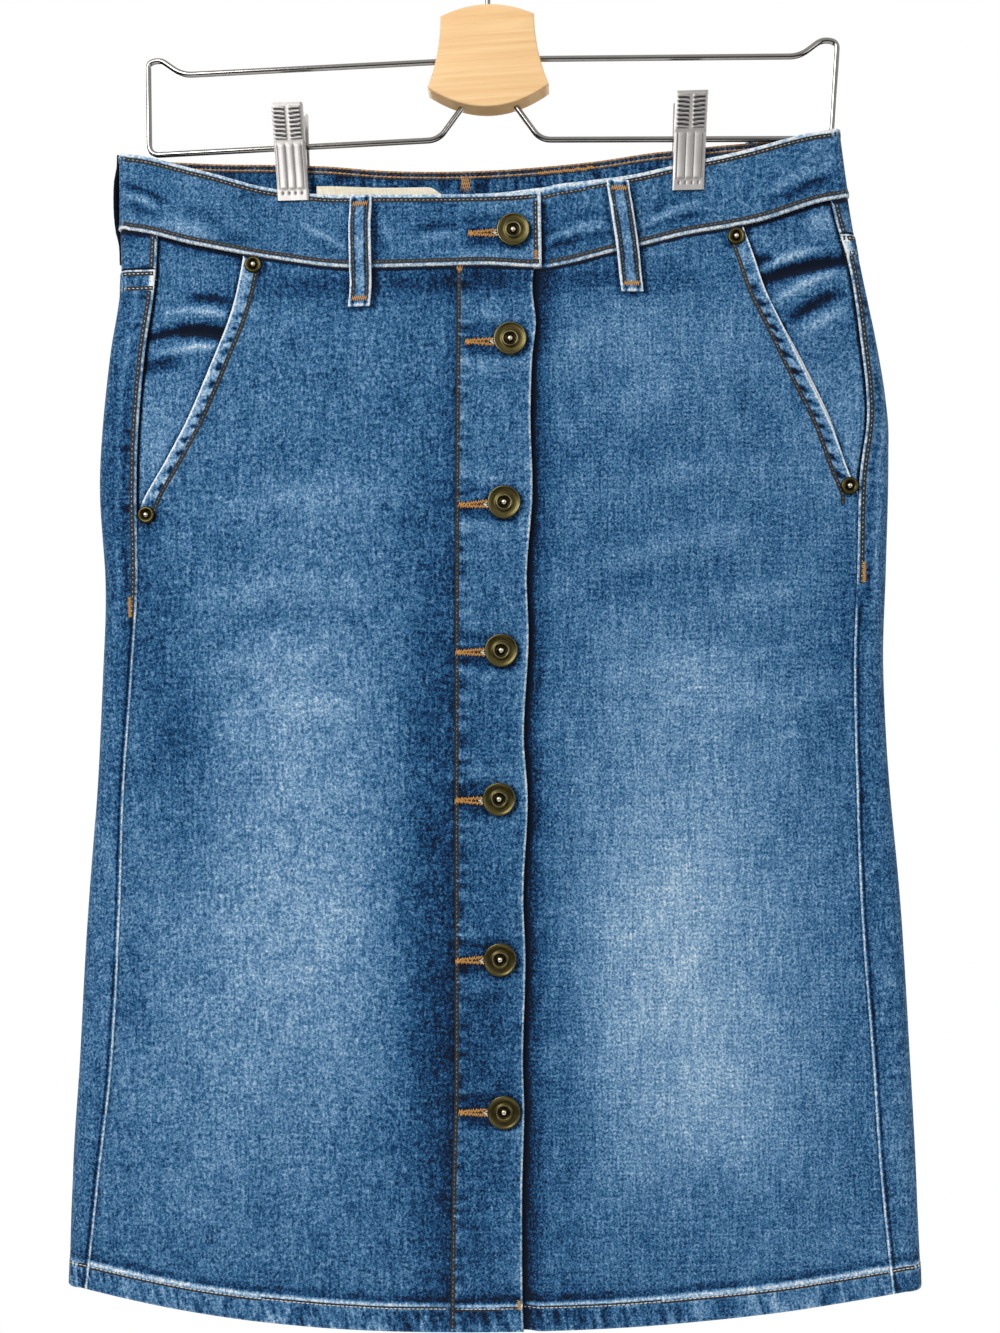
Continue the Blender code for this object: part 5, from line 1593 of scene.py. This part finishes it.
def make_clips(steel, coil_steel):
    """Folded sheet jaws: a chequered thumb pad, four pressed ribs, and a toothed lip."""
    across = np.concatenate([[-1, -1, -0.97, -0.9], np.linspace(-0.84, 0.84, 38), [0.9, 0.97, 1, 1]])
    down = np.linspace(0, 1, 96)
    s, t = np.meshgrid(across, down)
    drop = mix(CLIP_TOP, CLIP_BOTTOM, t)
    x = s * CLIP_WIDTH / 2
    off = np.abs(s)
    in_ribs = off < 0.9
    pad, in_column = window(*PAD_SHARE, t), window(*PAD_COLUMN, off)
    rows = np.sin((drop - CLIP_TOP) * math.tau / PAD_PITCH + 2.2 * off)
    ridges = PAD_RISE * pad * in_column * (0.5 + 0.5 * rows)
    lower = window(*RIB_SHARE, t)
    flute = np.abs(np.cos(s * math.pi * 1.95))
    ribs = RIB_RISE * lower * np.sqrt(flute) * in_ribs
    lip = bell((t - 0.925) / 0.012)
    teeth = sum(bell((s - place) / 0.07) * lip for place in TEETH)
    face = jaw_depth(drop) + CLIP_SHEET + ridges + ribs - 0.6 * teeth - 0.5
    # Painted shade: in the pad's hollows, the valleys between the ribs, along the rims and the ribs' top,
    # and in the teeth.
    dark = pad * in_column * (1 - smoothstep(0.1, 0.3, ridges))
    valley = 0.75 * bell(flute / 0.28) + 0.22 * bell((flute - 0.6) / 0.25)
    dark = dark + lower * valley * in_ribs
    dark = dark + 0.4 * bell((off - 0.93) / 0.03) + 0.25 * bell((t - 0.40) / 0.012)
    dark = np.clip(dark + 0.9 * teeth, 0, 0.95)
    rim = np.maximum(jaw_depth(drop) - CLIP_FLANGE, PINCH_DEPTH + BAND_RISE + SEAM_GAP)
    at_end = np.zeros_like(in_ribs)
    at_end[:, [0, -1]] = True
    eased = np.where(off >= 1.0, face - 0.9, np.where(off > 0.95, face - 0.2, face))
    outer_y = np.where(at_end, rim, eased)
    wall = CLIP_SHEET * 0.75
    inner_x = np.clip(x, -CLIP_WIDTH / 2 + wall, CLIP_WIDTH / 2 - wall)
    inner_y = np.where(at_end, rim, jaw_depth(drop))
    lean_at = lambda drop: mix(CLIP_X_TOP, CLIP_X_BOTTOM, (drop - CLIP_TOP) / (CLIP_BOTTOM - CLIP_TOP))
    lean = lean_at(drop)
    faces = grid_faces(*drop.shape)
    # The jaws' inner faces get a little painted shade.
    tone = np.concatenate([dark.ravel(), np.full(dark.size, 0.2)])
    bar_share = (CLIP_X_TOP - DIAGONAL_FOOT) / (BAR_BOTTOM_END - DIAGONAL_FOOT)
    for side, sign, _, _, lower_by in ARMS:
        for name, turn in (("front", -1.0), ("back", 1.0)):
            points = np.concatenate([
                np.stack([sign * lean + wide, turn * deep, -drop], -1).reshape(-1, 3)
                for wide, deep in ((x, outer_y), (inner_x, inner_y))
            ])
            order = faces if turn < 0 else faces[:, ::-1]
            node = f"clip_{side}_{name}_jaw"
            piece = mesh_piece(
                node + "_sheet", points, order, steel, (node,), "chromed_clip", tone=tone
            )
            piece.data.set_sharp_from_angle(angle=math.radians(50))
        bar = mix(BAR_BOTTOM_AT_BLOCK, BAR_BOTTOM_AT_END, bar_share) + lower_by
        middle_x = sign * lean_at(bar)
        coil = [
            (middle_x + (turn / COIL_TURNS - 0.5) * COIL_LENGTH,
             COIL_RADIUS * math.cos(turn * math.tau), -bar + COIL_RADIUS * math.sin(turn * math.tau))
            for turn in np.linspace(0, COIL_TURNS, COIL_TURNS * 22)
        ]
        wire(f"clip_{side}_coil", f"clip_{side}_spring", coil, COIL_WIRE, coil_steel)


# ---------------------------------------------------------------- the studio

AIM = Vector((0.0021, 0.0, -0.4243))
CAMERA_DISTANCE = 0.8
CAMERA_AZIMUTH, CAMERA_ROLL = math.radians(2.4), math.radians(0.75)
LENS, SENSOR = 39.3, 36.0
FLOOR_DROP, FLOOR_RADIUS, FLOOR_SIDES = 1.3, 1.05, 96


def make_camera():
    camera_data = bpy.data.cameras.new("camera")
    camera_data.lens = LENS
    camera_data.sensor_width = SENSOR
    camera = bpy.data.objects.new("camera", camera_data)
    back = Vector((math.sin(CAMERA_AZIMUTH), -math.cos(CAMERA_AZIMUTH), 0.0))
    place = Matrix.Translation(AIM + back * CAMERA_DISTANCE)
    turn = (-back).to_track_quat("-Z", "Y").to_matrix().to_4x4()
    camera.matrix_world = place @ turn @ Matrix.Rotation(-CAMERA_ROLL, 4, "Z")
    bpy.context.scene.collection.objects.link(camera)
    bpy.context.scene.camera = camera


def area_light(name, place, size, power):
    light_data = bpy.data.lights.new(name, "AREA")
    light_data.energy = power
    light_data.size = size
    light = bpy.data.objects.new(name, light_data)
    light.location = place
    light.rotation_mode = "QUATERNION"
    light.rotation_quaternion = (AIM - Vector(place)).to_track_quat("-Z", "Y")
    bpy.context.scene.collection.objects.link(light)


def make_studio():
    """A white backdrop to the camera, and a softer light, dimmer from below, on the object."""
    world = bpy.data.worlds.new("studio")
    bpy.context.scene.world = world
    world.use_nodes = True
    tree = world.node_tree
    back, output = tree.nodes["Background"], tree.nodes["World Output"]
    back.inputs["Color"].default_value = (1, 1, 1, 1)
    back.inputs["Strength"].default_value = 1.0
    soft, direction, split, rise, seen, choose = (
        tree.nodes.new("ShaderNode" + kind)
        for kind in ("Background", "TexCoord", "SeparateXYZ", "MapRange", "LightPath", "MixShader")
    )
    for key, value in (("From Min", -0.4), ("From Max", 0.45), ("To Min", 0.03), ("To Max", 0.8)):
        rise.inputs[key].default_value = value
    for start, end in (
        (direction.outputs["Generated"], split.inputs[0]),
        (split.outputs["Z"], rise.inputs["Value"]),
        (rise.outputs[0], soft.inputs["Strength"]),
        (seen.outputs["Is Camera Ray"], choose.inputs[0]),
        (soft.outputs[0], choose.inputs[1]),
        (back.outputs[0], choose.inputs[2]),
        (choose.outputs[0], output.inputs["Surface"]),
    ):
        tree.links.new(start, end)
    area_light("key", (-0.9, -1.5, 0.35), 0.9, 23.0)
    area_light("fill", (1.4, -1.3, -0.3), 1.2, 7.0)
    area_light("back_left", (-1.2, 1.4, 0.3), 1.2, 18.0)
    area_light("back_right", (1.3, 1.4, -0.1), 1.2, 12.0)
    mesh = bpy.data.meshes.new("floor")
    ring = [
        (FLOOR_RADIUS * math.cos(a), FLOOR_RADIUS * math.sin(a), -FLOOR_DROP)
        for a in np.arange(FLOOR_SIDES) * math.tau / FLOOR_SIDES
    ]
    mesh.from_pydata(ring, [], [tuple(range(FLOOR_SIDES))])
    floor = bpy.data.objects.new("floor", mesh)
    made, k = ink("pale_floor", 0.6)
    tone = k.math("ADD", k.noise(k.node("TexCoord").outputs["Object"], 3.0), 0.5)
    k.paint("Base Color", k.ramp(tone, ((0.2, (236, 236, 234)), (0.8, (244, 244, 243)))))
    mesh.materials.append(made)
    bpy.context.scene.collection.objects.link(floor)
    bpy.context.scene.view_settings.view_transform = "Standard"


def make_skirt():
    denim = denim_material()
    make_fronts(denim)
    make_pockets(denim, cotton_material("lining_cotton", (196, 198, 200), (236, 237, 238)))
    make_backs(denim)
    make_waistband(denim)
    make_label(cotton_material("label_cotton", (226, 214, 184), (247, 241, 224)))
    make_loops(denim)


def sew_all():
    threads = [Thread(*row) for row in (
        ("topstitching_tan", "tan_thread", (190, 188, 180), (244, 241, 234)),
        ("topstitching_brown", "brown_thread", (112, 106, 94), (202, 196, 182)),
        ("topstitching_umber", "umber_thread", (60, 58, 48), (138, 134, 118)),
        ("bar_tacks", "orange_thread", (112, 70, 22), (222, 164, 84)),
        ("waist_chain_stitch", "amber_thread", (136, 92, 44), (206, 158, 98)),
        ("shank_threads", "cream_thread", (180, 172, 150), (236, 230, 212)),
        # This thread's strips paint the shadow under the stitch rows and in the buttonhole slits.
        ("needle_lines", "needle_shadow", (4, 6, 12), (16, 20, 30)),
    )]
    tan, brown, umber, orange, amber, cream, groove = threads
    sew_skirt(tan, brown, umber, orange, amber, groove)
    sew_back_band(orange)
    sew_loops(umber, orange, groove)
    sew_holes(orange, cream, groove)
    for thread in threads:
        thread.make()


def make_hanger():
    wire_steel = steel_material("chromed_wire_steel", 0.12, (150, 147, 143), (176, 173, 170))
    clip_steel = steel_material(
        "chromed_clip_steel", 0.5, (158, 154, 151), (204, 201, 198), hollows=True
    )
    make_wires(wire_steel)
    make_block(wood_material())
    make_clips(clip_steel, wire_steel)


make_camera()
make_studio()
make_skirt()
sew_all()
make_trims(brass_material())
make_hanger()
